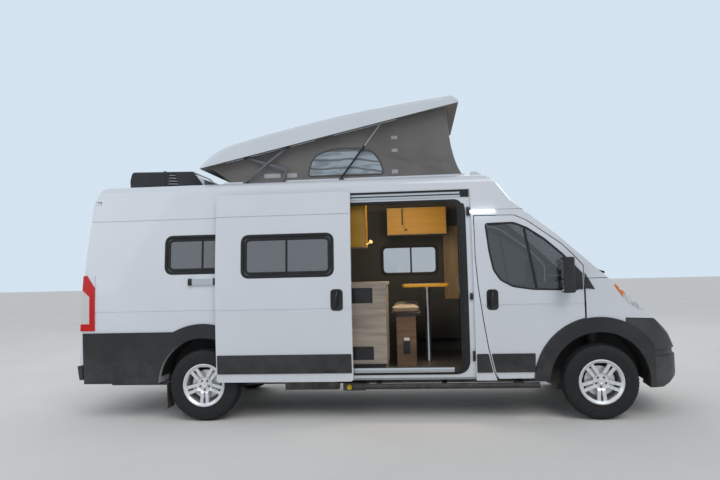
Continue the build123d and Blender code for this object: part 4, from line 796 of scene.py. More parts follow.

# %% [markdown]
# A rail is drawn as flat bars between two depths: dark ones that are painted shadow in the slots, and
# bright ones for the lips. The middle rail on the body's side ends in three moulded caps.

# %% Rails of the sliding door
RAILS = [
    # Dark rubber bars: painted shadow in the rail's slots.
    ("rail_shadow_strips", seal_rubber, [
        (-0.300, 1.004, 2.287, 2.341, 0.9051, 0.9062), (0.915, 1.004, 2.262, 2.286, 0.9052, 0.9070)]),
    ("rail_lips", bright_metal, [
        (-0.300, 0.910, 2.297, 2.317, 0.9062, 0.9105), (-0.300, 0.910, 2.264, 2.283, 0.9052, 0.9095)]),
]
for name, finish, bars in RAILS:
    parts = []
    for *sizes, near, far in bars:
        edge = in_plane(outline(oblong(*sizes), 0.004, 3, 8), Y, -near)
        parts.append(plate(edge, (0.0, PASSENGER, 0.0), [(1.0, 0.0), (1.0, far - near)]))
    piece(name, together(parts), finish)

RAIL_ENDS = [(-1.945, -1.905), (-1.676, -1.640), (-0.436, -0.416)]
RAIL_CAP = [(1.0, 0.0), (1.0, 0.029), (0.8, 0.031)]
caps = [pad(outline(oblong(*ends, 1.414, 1.486), 0.006, 4, 2), PASSENGER, RAIL_CAP) for ends in RAIL_ENDS]
piece("track_end_caps", together(caps), gloss_black)

# %% [markdown]
# ## Tyres
# A van tyre has a round-shouldered wall with moulded ribs, and a road tread of blocks between three
# grooves round it. The wheel's ring is a grid of angle and profile: the profile is a list of (y, radius),
# and the blocks come from lowering the radius where an angle pattern says so, which keeps it one mesh.

# %% Tyres
TYRE_PROFILE = np.array([
    (-0.1040, 0.2228), (-0.1100, 0.2290), (-0.1105, 0.2400), (-0.1085, 0.2440), (-0.1110, 0.2480),
    (-0.1122, 0.2700), (-0.1125, 0.2860), (-0.1105, 0.2890), (-0.1122, 0.2920), (-0.1115, 0.3060),
    (-0.1090, 0.3230), (-0.1050, 0.3370), (-0.0995, 0.3480), (-0.0930, 0.3570), (-0.0850, 0.3640),
    (-0.0700, 0.3680), (-0.0640, 0.3690), (-0.0600, 0.3600), (-0.0540, 0.3600), (-0.0500, 0.3705),
    (-0.0300, 0.3715), (-0.0250, 0.3720), (-0.0215, 0.3620), (-0.0155, 0.3620), (-0.0120, 0.3720),
    (0.0000, 0.3720),
])
TYRE_PROFILE = np.vstack([TYRE_PROFILE, TYRE_PROFILE[-2::-1] * (-1.0, 1.0)])
PITCHES = 70
BLOCK = np.array([0.0, 0.34, 0.38, 0.96]) / PITCHES * TURN
SWAY, SWAY_TURNS = 0.35 / PITCHES * TURN, 22.0
GROOVE = 0.006
RIB_HALF, TREAD_HALF, TREAD_RADIUS = 0.026, 0.094, 0.3625
HUB_Z, HUB_FACE, BOLT_CIRCLE = 0.372, 0.066, 0.050
WHEELS = [(2.2335, -0.905), (2.2335, 0.905), (-1.8015, -0.892), (-1.8015, 0.892)]


def tyre_shape(x, y):
    """Angle by profile. Between blocks the radius drops 6 mm, except in the middle rib and on the walls."""
    angle = (np.arange(PITCHES)[:, None] * TURN / PITCHES + BLOCK[None]).ravel()
    raised = np.tile([1.0, 1.0, 0.0, 0.0], PITCHES)
    across, radius = TYRE_PROFILE.T
    tread = (radius > TREAD_RADIUS) * (np.abs(across) < TREAD_HALF)
    depth = GROOVE * np.clip((np.abs(across) - RIB_HALF) / GROOVE, 0, 1) * tread
    turned = angle[:, None] + SWAY * np.sin(across * SWAY_TURNS)
    reach = radius - (1.0 - raised)[:, None] * depth
    places = [x + reach * np.sin(turned), y + 0 * turned + across, HUB_Z + reach * np.cos(turned)]
    return np.stack(places, axis=-1).reshape(-1, 3), quads(len(angle), len(across), True, True)


def button(centre, axis, radius, sides, profile):
    """A round plate that stands along its axis."""
    return plate(circle(centre, axis, radius, sides), axis, profile)


BOLT = [(1.0, -0.002), (1.0, 0.008), (0.8, 0.011)]
WHEEL_CAP = [(1.0, -0.002), (1.0, 0.010), (0.92, 0.015), (0.6, 0.0165), (0.5, 0.0145)]
BOLT_ANGLES = np.arange(5) * TURN / 5 + TURN / 10
BOLT_PLACES = BOLT_CIRCLE * np.stack([np.sin(BOLT_ANGLES), np.cos(BOLT_ANGLES)], axis=1)
VALVE = np.array([(0.070, -0.188), (0.088, -0.180), (0.104, -0.176)])
for corner, (x, y) in zip(CORNERS, WHEELS):
    body = f"wheel_{corner}"
    tyre = piece(f"road_tyre_{corner}", tyre_shape(x, y), tyre_rubber, body, 28.0)
    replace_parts(tyre, f"tyre_{corner}")
    side = math.copysign(1.0, y)
    out, face = (0.0, side, 0.0), y + side * HUB_FACE
    bolts = [button((x + across, face, HUB_Z + up), out, 0.011, 6, BOLT) for across, up in BOLT_PLACES]
    piece(f"wheel_bolts_{corner}", together(bolts), dark_steel, body, 20.0)
    piece(f"wheel_cap_{corner}", button((x, face, HUB_Z), out, 0.033, 36, WHEEL_CAP), alloy, body)
    stem = in_plane(VALVE * (side, 1.0) + (y, HUB_Z), X, x)
    valve = sweep(stem, (0.0, 0.0, 1.0), round_section(0.004, 8), closed=False)
    piece(f"tyre_valve_{corner}", valve, seal_rubber, body)

# %% [markdown]
# ## The canvas of the raised roof
# The walls are one length of coated cloth sewn into a tube: fixed to the frame below and to the lid's rim
# above. Under tension it draws in between them, most at the front, where it also folds back when the
# roof comes down. The form is a grid of place round the roof by height. Long soft creases are added as
# ridges about line segments, because that puts each where the photograph has it.

# %% Canvas walls
CANVAS_HALF = 0.726
CANVAS_LOW_Z = 2.526
LOW_REAR_X, LOW_FRONT_X = -1.570, 0.965
TOP_REAR_X, TOP_REAR_Z, TOP_FRONT_X, TOP_FRONT_Z = -1.786, 2.692, 0.806, 3.243
LEAST_SINK = -0.004
SIDE_DRAW, FRONT_DRAW, REAR_DRAW, PLEAT = 0.020, 0.045, 0.016, 0.010
CORNER, SIDE_FROM, SIDE_BAND = 0.05, 0.68, 0.04
CLOTH, CLOTH_MORE = 0.002, 0.0008
CREASES = [
    (0.140, 2.800, 0.820, 2.575, 0.013, 0.026),
    (0.142, 2.700, 0.565, 2.560, 0.010, 0.020),
    (0.300, 2.700, 0.840, 2.660, -0.010, 0.030),
    (0.420, 2.900, 0.800, 3.100, -0.010, 0.040),
    (0.560, 2.600, 0.880, 2.800, 0.010, 0.024),
    (-0.500, 2.900, -0.050, 2.870, 0.010, 0.018),
    (-0.620, 2.850, -0.300, 2.905, 0.008, 0.016),
    (-0.700, 2.571, -0.950, 2.700, 0.005, 0.030),
    (-1.150, 2.560, -1.500, 2.650, 0.006, 0.035),
    (-0.300, 2.880, 0.050, 2.990, -0.004, 0.050),
    (0.060, 2.560, 0.100, 2.700, -0.004, 0.030),
    (0.650, 3.130, 0.820, 3.000, 0.005, 0.030),
]


def crease_height(x, z):
    """Sum of ridges: each falls off as exp(-(distance / width)^2) from its line segment."""
    total = np.zeros_like(x)
    for from_x, from_z, to_x, to_z, height, width in CREASES:
        run_x, run_z = to_x - from_x, to_z - from_z
        share = ((x - from_x) * run_x + (z - from_z) * run_z) / (run_x**2 + run_z**2)
        share = np.clip(share, 0.0, 1.0)
        gone = np.hypot(x - from_x - share * run_x, z - from_z - share * run_z)
        total += height * np.exp(-((gone / width) ** 2))
    return total


def rim_height(x):
    """Height of the raised lid's rim: a line from its rear to its front."""
    return TOP_REAR_Z + (x - TOP_REAR_X) * (TOP_FRONT_Z - TOP_REAR_Z) / (TOP_FRONT_X - TOP_REAR_X)


def canvas_sink(x, z):
    """How far the side wall lies inside its frame: drawn in between sill and rim, plus the creases."""
    bow = np.sin(math.pi * np.clip((z - CANVAS_LOW_Z) / (rim_height(x) - CANVAS_LOW_Z), 0.0, 1.0))
    return SIDE_DRAW * bow * np.clip((x + 1.9) / 2.4, 0.15, 1.0) - crease_height(x, z) * bow**0.5


def canvas_shape(columns=64, rows=44):
    """The tube of cloth: a rounded rectangle below, one above, and lines between, drawn in and creased."""
    low = outline(oblong(LOW_REAR_X, LOW_FRONT_X, -CANVAS_HALF, CANVAS_HALF), CORNER, 8, columns)
    top = outline(oblong(TOP_REAR_X, TOP_FRONT_X, -CANVAS_HALF, CANVAS_HALF), CORNER, 8, columns)
    share = np.linspace(0.0, 1.0, rows)[:, None]
    bow = np.sin(math.pi * share)
    x, y = (low[:, axis] + share * (top[:, axis] - low[:, axis]) for axis in (X, Y))
    z = CANVAS_LOW_Z + share * (rim_height(top[None, :, 0]) - CANVAS_LOW_Z)
    front_x = LOW_FRONT_X + share * (TOP_FRONT_X - LOW_FRONT_X)
    rear_x = LOW_REAR_X + share * (TOP_REAR_X - LOW_REAR_X)
    front = np.clip((x - front_x + CORNER) / CORNER, 0.0, 1.0)
    sideways = np.clip((np.abs(y) - SIDE_FROM) / SIDE_BAND, 0.0, 1.0)
    pleat = PLEAT * np.sin(y * 16.0 + 2.0 * share) * bow
    x = x - front * (FRONT_DRAW * np.sin(math.pi * share**0.72) + pleat * (1.0 - sideways))
    rear = np.clip((rear_x + CORNER - x) / CORNER, 0.0, 1.0) * (1.0 - front)
    x = x + rear * REAR_DRAW * bow * (1.0 + 0.4 * np.sin(y * 21.0))
    y = y - np.sign(y) * np.maximum(canvas_sink(x, z) * sideways, LEAST_SINK)
    outer = np.stack([x, y, z], axis=-1)
    toward = np.stack([0.5 * (LOW_REAR_X + LOW_FRONT_X) - x, -y], axis=-1)
    toward = CLOTH * np.sign(toward) * np.stack([np.maximum(front, rear), sideways], axis=-1)
    inner = outer.copy()
    inner[..., :2] += toward + CLOTH_MORE * np.sign(toward)
    rings = np.concatenate([outer, inner[::-1]])
    return rings.reshape(-1, 3), quads(len(rings), rings.shape[1], True, True)


canvas = piece("roof_canvas", canvas_shape(), canvas_cloth, "van", 60.0)
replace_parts(canvas, "pop_top_canvas")
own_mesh(canvas)

# %% [markdown]
# A clear arched window with a zip round it is welded into each side of the canvas, and small tabs hold
# its blind when rolled. All follow the cloth, so they are laid on it by the same sink formula.


# %% Canvas windows and tabs
def on_canvas(side, proud):
    """A function that lays (x, z) on the canvas's side wall."""

    def lift(x, z, rise=0.0):
        sink = np.maximum(canvas_sink(x, z), LEAST_SINK)
        return np.stack([x, side * (CANVAS_HALF - sink + proud + rise), z], axis=-1)

    return lift


ARCH = [
    (-0.700, 2.562), (-0.655, 2.730), (-0.590, 2.800), (-0.440, 2.842), (-0.287, 2.853),
    (-0.120, 2.845), (0.005, 2.812), (0.088, 2.700), (0.128, 2.558),
]
TABS = [
    (0.246, 2.950, 0.034, 0.018), (0.247, 2.812, 0.032, 0.018), (0.246, 2.580, 0.034, 0.022),
    (-1.090, 2.583, 0.090, 0.024), (-0.875, 2.580, 0.055, 0.024),
]
TAB = [(1.0, 0.0), (1.0, 0.002), (0.9, 0.003)]
arch = outline(ARCH, 0.045, 5, 3)


def arch_panel(lift, rise):
    """A thin pane over the arch: rings shrink to its middle and each is laid on the cloth."""
    centre = arch.mean(axis=0)
    flat = centre + np.linspace(1.0, 0.04, 14)[:, None, None] * (arch - centre)
    back, front = (lift(flat[..., 0], flat[..., 1], height) for height in (0.0, rise))
    return tube(np.concatenate([back[::-1], front]))


for side, side_name in SIDES:
    lift, outward = on_canvas(side, 0.001), (0.0, side, 0.0)
    pane = piece(f"canvas_window_{side_name}", arch_panel(lift, 0.0015), canvas_window, "van", 60.0)
    zip_line = sweep(laid(arch, on_canvas(side, 0.0015)), outward, strip_section(0.016, 0.003, -0.001))
    zipper = piece(f"canvas_window_zip_{side_name}", zip_line, canvas_band)
    tab_shapes = [plate(laid(outline(around(*sizes), 0.006, 3, 2), lift), outward, TAB) for sizes in TABS]
    tabs = piece(f"canvas_tabs_{side_name}", together(tab_shapes), tab_cloth)
    for soft in (pane, zipper, tabs):
        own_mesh(soft)

# %% [markdown]
# ## Upholstery
# A cushion is foam in a sewn cover: crowned, fullest in the middle, with sides that pull in between the
# corners and a piped seam round its edge. A rounded block swells under a little pressure in the cloth
# solver, which gives those sides for nothing, and a cap keeps it inside the room it has.


# %% Cushions
PRESSURE, STIFFNESS, FRAMES = 4.0, 25.0, 20
INSET_SHARE, CROWN, CROWN_LEVEL = 0.6, 0.010, 0.6


def foam_block(lo, hi, edge, voxel):
    """A block with rounded edges as an even mesh, made by beveling a cube and remeshing it."""
    mesh = bpy.data.meshes.new("foam")
    build = bmesh.new()
    bmesh.ops.create_cube(build, size=1.0)
    bmesh.ops.scale(build, vec=np.subtract(hi, lo), verts=build.verts)
    bmesh.ops.translate(build, vec=np.add(hi, lo) / 2, verts=build.verts)
    bmesh.ops.bevel(build, geom=build.edges[:], offset=edge, segments=3, profile=0.5, affect="EDGES")
    build.to_mesh(mesh)
    build.free()
    made = linked("foam", mesh)
    remesh = made.modifiers.new("even", "REMESH")
    remesh.mode = "VOXEL"
    remesh.voxel_size = voxel
    return applied(made)


def applied(made):
    """Replace an object's mesh by what its modifiers make of it."""
    depsgraph = bpy.context.evaluated_depsgraph_get()
    mesh = bpy.data.meshes.new_from_object(made.evaluated_get(depsgraph))
    made.modifiers.clear()
    made.data = mesh
    return made


def coordinates(mesh):
    """The corners of a mesh as an (N, 3) array."""
    flat = np.empty(3 * len(mesh.vertices))
    mesh.vertices.foreach_get("co", flat)
    return flat.reshape(-1, 3)


def swollen(made, cap):
    """Run the cloth solver with inner pressure, then limit each corner's way to cap metres."""
    before = coordinates(made.data)
    cloth = made.modifiers.new("swell", "CLOTH")
    cloth.settings.use_pressure = True
    cloth.settings.uniform_pressure_force = PRESSURE
    cloth.settings.effector_weights.gravity = 0.0
    cloth.settings.tension_stiffness = STIFFNESS
    cloth.settings.compression_stiffness = STIFFNESS
    cloth.point_cache.frame_start = 1
    cloth.point_cache.frame_end = FRAMES
    for number in range(1, FRAMES + 1):
        bpy.context.scene.frame_set(number)
    applied(made)
    bpy.context.scene.frame_set(1)
    way = coordinates(made.data) - before
    far = np.linalg.norm(way, axis=1, keepdims=True)
    return before + way * np.minimum(1.0, cap / np.maximum(far, 1e-9))


def cushion(name, lo, hi, finish, node, edge=0.022, voxel=0.009, cap=0.012, lean=None):
    """A padded piece: a foam block, swollen, crowned by (1 - u^4)(1 - v^4) across its thin way, and
    leaned by an angle about a point (x, z) if asked."""
    inset = INSET_SHARE * cap
    made = foam_block(np.add(lo, inset), np.subtract(hi, inset), edge, voxel)
    corners = swollen(made, cap)
    half = np.subtract(hi, lo) / 2
    share = np.clip((corners - np.add(lo, hi) / 2) / half, -1.0, 1.0)
    thin = int(np.argmin(half))
    first, second = (axis for axis in (X, Y, Z) if axis != thin)
    crown = (1.0 - share[:, first] ** 4) * (1.0 - share[:, second] ** 4)
    corners[:, thin] += share[:, thin] * (crown - CROWN_LEVEL) * CROWN
    if lean:
        pivot_x, pivot_z, angle = lean
        dx, dz = corners[:, X] - pivot_x, corners[:, Z] - pivot_z
        corners[:, X] = pivot_x + dx * math.cos(angle) + dz * math.sin(angle)
        corners[:, Z] = pivot_z - dx * math.sin(angle) + dz * math.cos(angle)
    made.data.vertices.foreach_set("co", corners.ravel())
    made.name = made.data.name = name
    made.data.materials.clear()
    made.data.materials.append(finish)
    made.data.polygons.foreach_set("use_smooth", [True] * len(made.data.polygons))
    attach(made, "van")
    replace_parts(made, node)
    print(name, len(corners), "corners")


bench_room = (0.158, -0.422, 1.049), (0.462, 0.522, 1.127)
bed_room = (-2.985, -0.865, 1.178), (-1.340, 0.865, 1.298)
cushion("bench_cushion", *bench_room, tan_cloth, "cushions", cap=0.010)
cushion("mattress", *bed_room, tan_cloth, "cushions", voxel=0.016, cap=0.014)
PIPINGS = [
    ("bench_piping", (0.166, 0.454, -0.414, 0.514), 1.101, 0.0045),
    ("mattress_piping_top", (-2.975, -1.350, -0.855, 0.855), 1.268, 0.006),
]
for name, sizes, z, radius in PIPINGS:
    seam = in_plane(outline(oblong(*sizes), 0.04, 8, 10), Z, z)
    piece(name, sweep(seam, (0.0, 0.0, 1.0), round_section(radius, 8)), tan_cloth)

# %% [markdown]
# A van's front seat is pads on a frame: the seat with its bolsters, the back leaning a little, the head
# restraint on two rods, and a plastic box below. Each pad is its own cushion.

# %% Cab seats
SEAT_Y = 0.470
UP = (0.0, 0.0, 1.0)
SEAT_FOAM = {"edge": 0.035, "voxel": 0.010}
SEAT_PADS = [
    ("seat_pad", (1.125, 0.795), (1.565, 0.905), 0.200, SEAT_FOAM),
    ("seat_back", (1.030, 0.880), (1.135, 1.470), 0.185, {**SEAT_FOAM, "lean": (1.12, 0.90, -0.17)}),
    ("head_restraint", (1.015, 1.545), (1.085, 1.690), 0.120, {"edge": 0.025, "voxel": 0.008, "cap": 0.008}),
]
for side, side_name in SIDES:
    y = side * SEAT_Y
    for name, (x_low, z_low), (x_high, z_high), half, foam in SEAT_PADS:
        room = (x_low, y - half, z_low), (x_high, y + half, z_high)
        cushion(f"{name}_{side_name}", *room, seat_cloth, "cab_seats", **foam)
    box = in_plane(outline(oblong(1.110, 1.490, y - 0.175, y + 0.175), 0.03, 5, 2), Z, 0.456)
    parts = [plate(box, UP, [(1.0, 0.0), (1.0, 0.30), (1.08, 0.318), (1.08, 0.345)])]
    for rod_y in (y - 0.06, y + 0.06):
        rod = np.linspace((1.045, rod_y, 1.40), (1.047, rod_y, 1.56), 3)
        parts.append(sweep(rod, (1.0, 0.0, 0.0), round_section(0.007, 10), closed=False))
    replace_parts(piece(f"seat_frame_{side_name}", together(parts), black_plastic), "cab_seats")

# %% [markdown]
# ## Inside the living space
# The inner faces of the body are lined with carpet-covered board, dark grey here. The lining round the
# far window is one sheet with a hole that follows the body's curve. Floor, partition and cabinet fronts
# are boards with softened edges.

# %% Lining and floor
lining_outer = outline(oblong(-0.86, 1.028, 0.461, 2.300), 0.02, 5, 24)
lining_hole = outline(oblong(-0.026, 0.726, 1.454, 1.846), 0.075, 5, 24)
lining = ring_panel(lining_outer, lining_hole, on_side(DRIVER, -0.068), 0.006, 16)
piece("far_wall_lining", lining, wall_carpet)
reveal = outline(oblong(-0.018, 0.718, 1.462, 1.838), 0.075, 8, 10)
divider = np.linspace((0.371, 1.476), (0.371, 1.824), 10)
parts = [
    bead(reveal, DRIVER, [(-0.016, -0.026), (0.012, -0.026), (0.012, 0.030), (-0.016, 0.030)], -0.050),
    bead(divider, DRIVER, strip_section(0.022, 0.030, 0.0), -0.046, closed=False),
]
piece("far_window_inner_frame", together(parts), seal_rubber)


def board(x_from, x_to, y_from, y_to, z_from, z_to, axis, edge=0.004):
    """A board with softened edges, drawn as an outline square to one axis and raised along it."""
    spans = [(x_from, x_to), (y_from, y_to), (z_from, z_to)]
    low, high = spans.pop(axis)
    flat = outline(oblong(*spans[0], *spans[1]), edge, 3, 1)
    deep = high - low
    profile = [(0.995, 0.0), (1.0, 0.002), (1.0, deep - 0.002), (0.995, deep)]
    return plate(in_plane(flat, axis, low), np.eye(3)[axis], profile)


piece("floor_boards", board(-0.895, 1.080, -0.905, 0.905, 0.4552, 0.4590, Z), floor_vinyl)
piece("cab_partition", board(0.800, 0.985, 0.868, 0.882, 1.130, 2.080, Y), panel_wood)
piece("lower_wall_pad", board(0.430, 0.980, 0.872, 0.890, 0.620, 1.200, Y, 0.03), seat_cloth)

# %% [markdown]
# Cabinet fronts are boards with a shadow gap round them, a few millimetres proud of their box, with a
# round push latch. The galley has two dark panels let in behind the doorway's rear edge.

# %% Cabinets
GALLEY = (-0.900, -0.883)
INSET = (-0.860, -0.018, -0.903, -0.899)
BENCH_FACE = (-0.4265, -0.4205)
FRONTS = [
    ("locker_front_far", warm_wood, Y, [
        (0.098, 0.300, 0.452, 0.469, 1.966, 2.294), (0.304, 0.822, 0.452, 0.469, 1.966, 2.294)]),
    ("locker_front_near", warm_wood, Y, [
        (-0.892, -0.500, -0.838, -0.821, 1.776, 2.290), (-0.496, -0.103, -0.838, -0.821, 1.776, 2.290)]),
    ("locker_end_near", warm_wood, X, [(-0.094, -0.084, -0.810, -0.510, 1.776, 2.290)]),
    ("galley_front", drift_wood, Y, [
        (-0.894, -0.402, *GALLEY, 0.560, 1.368), (-0.398, 0.118, *GALLEY, 0.560, 1.368)]),
    ("galley_insets", gloss_black, Y, [(*INSET, 1.187, 1.347), (*INSET, 0.602, 0.739)]),
    ("galley_plinth", black_plastic, Y, [(-0.894, 0.106, -0.876, -0.871, 0.460, 0.556)]),
    ("worktop", drift_wood, Z, [(-0.912, 0.136, -0.886, -0.364, 1.3945, 1.4000)]),
    ("bench_underboard", gloss_black, Z, [(0.145, 0.475, -0.434, -0.4305, 1.0185, 1.0485)]),
    ("bench_socket", white_gel, Y, [(0.285, 0.345, *BENCH_FACE, 0.742, 0.774)]),
    ("bench_panel", gloss_black, Y, [(0.278, 0.350, *BENCH_FACE, 0.600, 0.732)]),
    ("overhead_bar", seal_rubber, Y, [(0.272, 0.288, 0.446, 0.4515, 2.080, 2.290)]),
]
for name, finish, axis, boards in FRONTS:
    piece(name, together([board(*sizes, axis) for sizes in boards]), finish)

LATCHES = [(0.325, 0.452, 2.022, 0.016), (-0.300, -0.838, 1.810, 0.014), (-0.690, -0.838, 1.810, 0.014)]
LATCH = [(1.0, 0.0), (1.0, 0.004), (0.85, 0.006), (0.6, 0.004), (0.5, 0.0045)]
latches = [button(place, (0, -1, 0), radius, 28, LATCH) for *place, radius in LATCHES]
piece("push_latches", together(latches), gloss_black)

# %% [markdown]
# A reading lamp stands on a bent stem at the locker's end, and the table's top rests on a pole with a
# foot and a spread head. Its edge is a separate band of wood, as on the real board.

# %% Reading lamp and table
bent = np.array([(-0.094, 1.800), (-0.075, 1.810), (-0.055, 1.822), (-0.030, 1.836)])
lamp_stem = sweep(in_plane(bent, Y, -0.70), (0.0, 1.0, 0.0), round_section(0.006, 10), closed=False)
lamp_rim = circle((-0.040, -0.70, 1.830), (0.6, -0.5, 0.6), 0.020, 24)
lamp_head = plate(lamp_rim, (0.51, -0.42, 0.51), [(0.5, -0.010), (1.0, 0.0), (1.0, 0.016), (0.9, 0.018)])
# The stem has the lamp's lit finish too, so it glows, though only the head is a lamp.
piece("reading_lamp", together([lamp_stem, lamp_head]), lit_warm)
POLE = [(1.0, 0.0), (1.0, 0.020), (0.95, 0.024), (0.95, 0.80), (1.15, 0.82), (1.6, 0.845), (1.6, 0.852)]
piece("table_pole", button((0.560, -0.120, 0.470), UP, 0.031, 32, POLE), bright_metal)
table_path = in_plane(outline(oblong(0.278, 0.802, -0.362, 0.202), 0.05, 8, 6), Z, 1.339)
BAND = [(-0.003, -0.013), (0.003, -0.012), (0.004, 0.0), (0.003, 0.012), (-0.003, 0.0135)]
piece("table_edging", sweep(table_path, UP, BAND), warm_wood)
table_top = plate(table_path + (0.0, 0.0, 0.0132), UP, [(1.0, 0.0), (1.0, 0.0015), (0.996, 0.002)])
piece("table_top", table_top, warm_wood)

# %% [markdown]
# ## Small things outside
# Mirrors need glass and a side signal, the windscreen its wipers, and the valve box its yellow tap. Each
# is a plate or a bar set by its own few numbers.

# %% Mirrors, wipers, valve
MIRROR = [(1.0, -0.002), (1.0, 0.0015), (0.97, 0.0025), (0.5, 0.0028)]
for side, side_name in ((PASSENGER, "passenger"), (DRIVER, "driver")):
    parts = []
    for low, high in ((1.400, 1.592), (1.280, 1.388)):
        flat = outline(oblong(1.083, 1.176, low, high), 0.018, 6, 4)
        parts.append(plate(in_plane(flat * (side, 1.0), X, 1.8685), (-1.0, 0.0, 0.0), MIRROR))
    piece(f"mirror_glass_{side_name}", together(parts), mirror_silver)
    flat = outline(oblong(1.905, 1.960, 1.470, 1.520), 0.012, 5, 3)
    path = in_plane(flat, Y, side * (1.171 - (flat[:, 0] - 1.905) * 0.35))
    signal = plate(path, (0.3, side * 0.95, 0.0), [(1.0, -0.006), (1.0, 0.003), (0.85, 0.006)])
    piece(f"mirror_signal_{side_name}", signal, amber_lens)

WIPER_ARM = [(-0.008, -0.004), (0.008, -0.004), (0.005, 0.006), (-0.005, 0.006)]
PIVOT_CAP = [(1.0, -0.006), (1.0, 0.006), (0.7, 0.012)]
parts = []
for pivot_y, tip_y in ((-0.62, 0.10), (0.16, 0.86)):
    y = np.linspace(pivot_y, tip_y, 12)
    climb = np.sin(np.linspace(0.0, 1.0, 12) * math.pi * 0.5)
    x = 2.360 + 0.055 * (1.0 - (y / 0.95) ** 2) - 0.060 * climb
    z = 1.456 + 0.055 * climb
    parts.append(sweep(np.stack([x, y, z], axis=1), (0.6, 0.0, 0.8), WIPER_ARM, closed=False))
    parts.append(button((x[0] + 0.004, pivot_y, z[0] - 0.006), (0.5, 0.0, 0.86), 0.018, 18, PIVOT_CAP))
piece("wipers", together(parts), black_plastic)

VALVE_Y, VALVE_Z, ACROSS, OUT = -0.9305, 0.330, (0, 1, 0), (0.0, -1.0, 0.0)
face = in_plane(outline(oblong(-0.334, -0.119, 0.300, 0.360), 0.01, 4, 3), Y, VALVE_Y)
parts = [plate(face, OUT, [(1.0, 0.0), (1.0, 0.003), (0.96, 0.003), (0.95, 0.001)])]
for x in (-0.322, -0.226, -0.196):
    knob = circle((x, VALVE_Y, VALVE_Z), ACROSS, 0.010, 18)
    parts.append(plate(knob, OUT, [(1.0, 0.0), (1.0, 0.007), (0.8, 0.009)]))
piece("service_valve_plate", together(parts), grey_plastic)
wheel = circle((-0.276, VALVE_Y - 0.001, VALVE_Z), ACROSS, 0.026, 32)
boss = circle((-0.276, VALVE_Y - 0.0125, VALVE_Z), ACROSS, 0.009, 20)
parts = [
    plate(wheel, OUT, [(1.0, 0.0), (1.0, 0.012), (0.9, 0.015), (0.75, 0.012), (0.4, 0.012)]),
    plate(boss, OUT, [(1.0, 0.0), (1.0, 0.008), (0.7, 0.010)]),
]
piece("service_valve_tap", together(parts), yellow_plastic)

# %% [markdown]
# ## Rear doors
# Each rear door has three hinges and a window seal. The right one has the handle, the left one a recess
# with a blank plate. Their face is flat but leans forward with height, so one formula lays (y, z) on it.

# %% Rear doors
TAIL_SLOPE = 0.0696
TAIL_OUT = (-0.9976, 0.0, 0.0694)


def on_tail(flat, side=1, proud=0.0):
    """Points (y, z) of an outline laid on the rear doors' face, which leans forward with height."""
    return in_plane(flat * (side, 1.0), X, -3.1455 + TAIL_SLOPE * (flat[:, 1] - 0.605) - proud)


for side, body in ((-1, "rear_door_right"), (1, "rear_door_left")):
    hinges = []
    for z in (0.790, 1.420, 2.150):
        flat = outline(oblong(0.800, 0.878, z - 0.022, z + 0.022), 0.008, 4, 2)
        hinges.append(plate(on_tail(flat, side), TAIL_OUT, [(1.0, -0.004), (1.0, 0.008), (0.96, 0.012)]))
    piece(f"{body}_hinges", together(hinges), white_paint, body)
    window = outline([(0.090, 1.500), (0.790, 1.500), (0.770, 2.080), (0.090, 2.080)], 0.075, 8, 6)
    seal = sweep(on_tail(window, side), TAIL_OUT, strip_section(0.024, 0.004, -0.012))
    piece(f"{body}_window_seal", seal, seal_rubber, body)
GRIP = [(1.0, -0.004), (1.0, 0.006), (0.9, 0.010), (0.75, 0.004), (0.4, 0.004)]
grip = on_tail(outline(oblong(-0.120, -0.030, 1.130, 1.330), 0.035, 6, 4))
piece("rear_handle", plate(grip, TAIL_OUT, GRIP), gloss_black, "rear_door_right")
RECESS = [(1.0, -0.003), (1.0, 0.004), (0.985, 0.006), (0.97, 0.003), (0.4, 0.003)]
recess = on_tail(outline(oblong(0.120, 0.640, 0.905, 1.035), 0.012, 5, 6))
piece("plate_panel", plate(recess, TAIL_OUT, RECESS), black_plastic, "rear_door_left")
blank = on_tail(outline(oblong(0.135, 0.625, 0.918, 1.022), 0.010, 5, 6), proud=0.003)
blank_plate = plate(blank, TAIL_OUT, [(1.0, 0.0), (1.0, 0.002), (0.99, 0.003)])
piece("blank_plate", blank_plate, white_gel, "rear_door_left")
stop = in_plane(outline(oblong(-0.150, 0.150, 2.352, 2.374), 0.008, 4, 4), X, -2.992)
piece("high_stop_lamp", plate(stop, TAIL_OUT, [(1.0, -0.012), (1.0, 0.004), (0.97, 0.006)]), tail_lamp)

# %% [markdown]
# ## The rooftop cooler
# The cooler is a moulded shell with a joint across it, where the fan cover meets the condenser cover, and
# louvres in each flank. Its sloped front end reaches into the fairing. The gap below the fairing's edge
# lies in shade, and a dark wedge on each side is that painted shade.

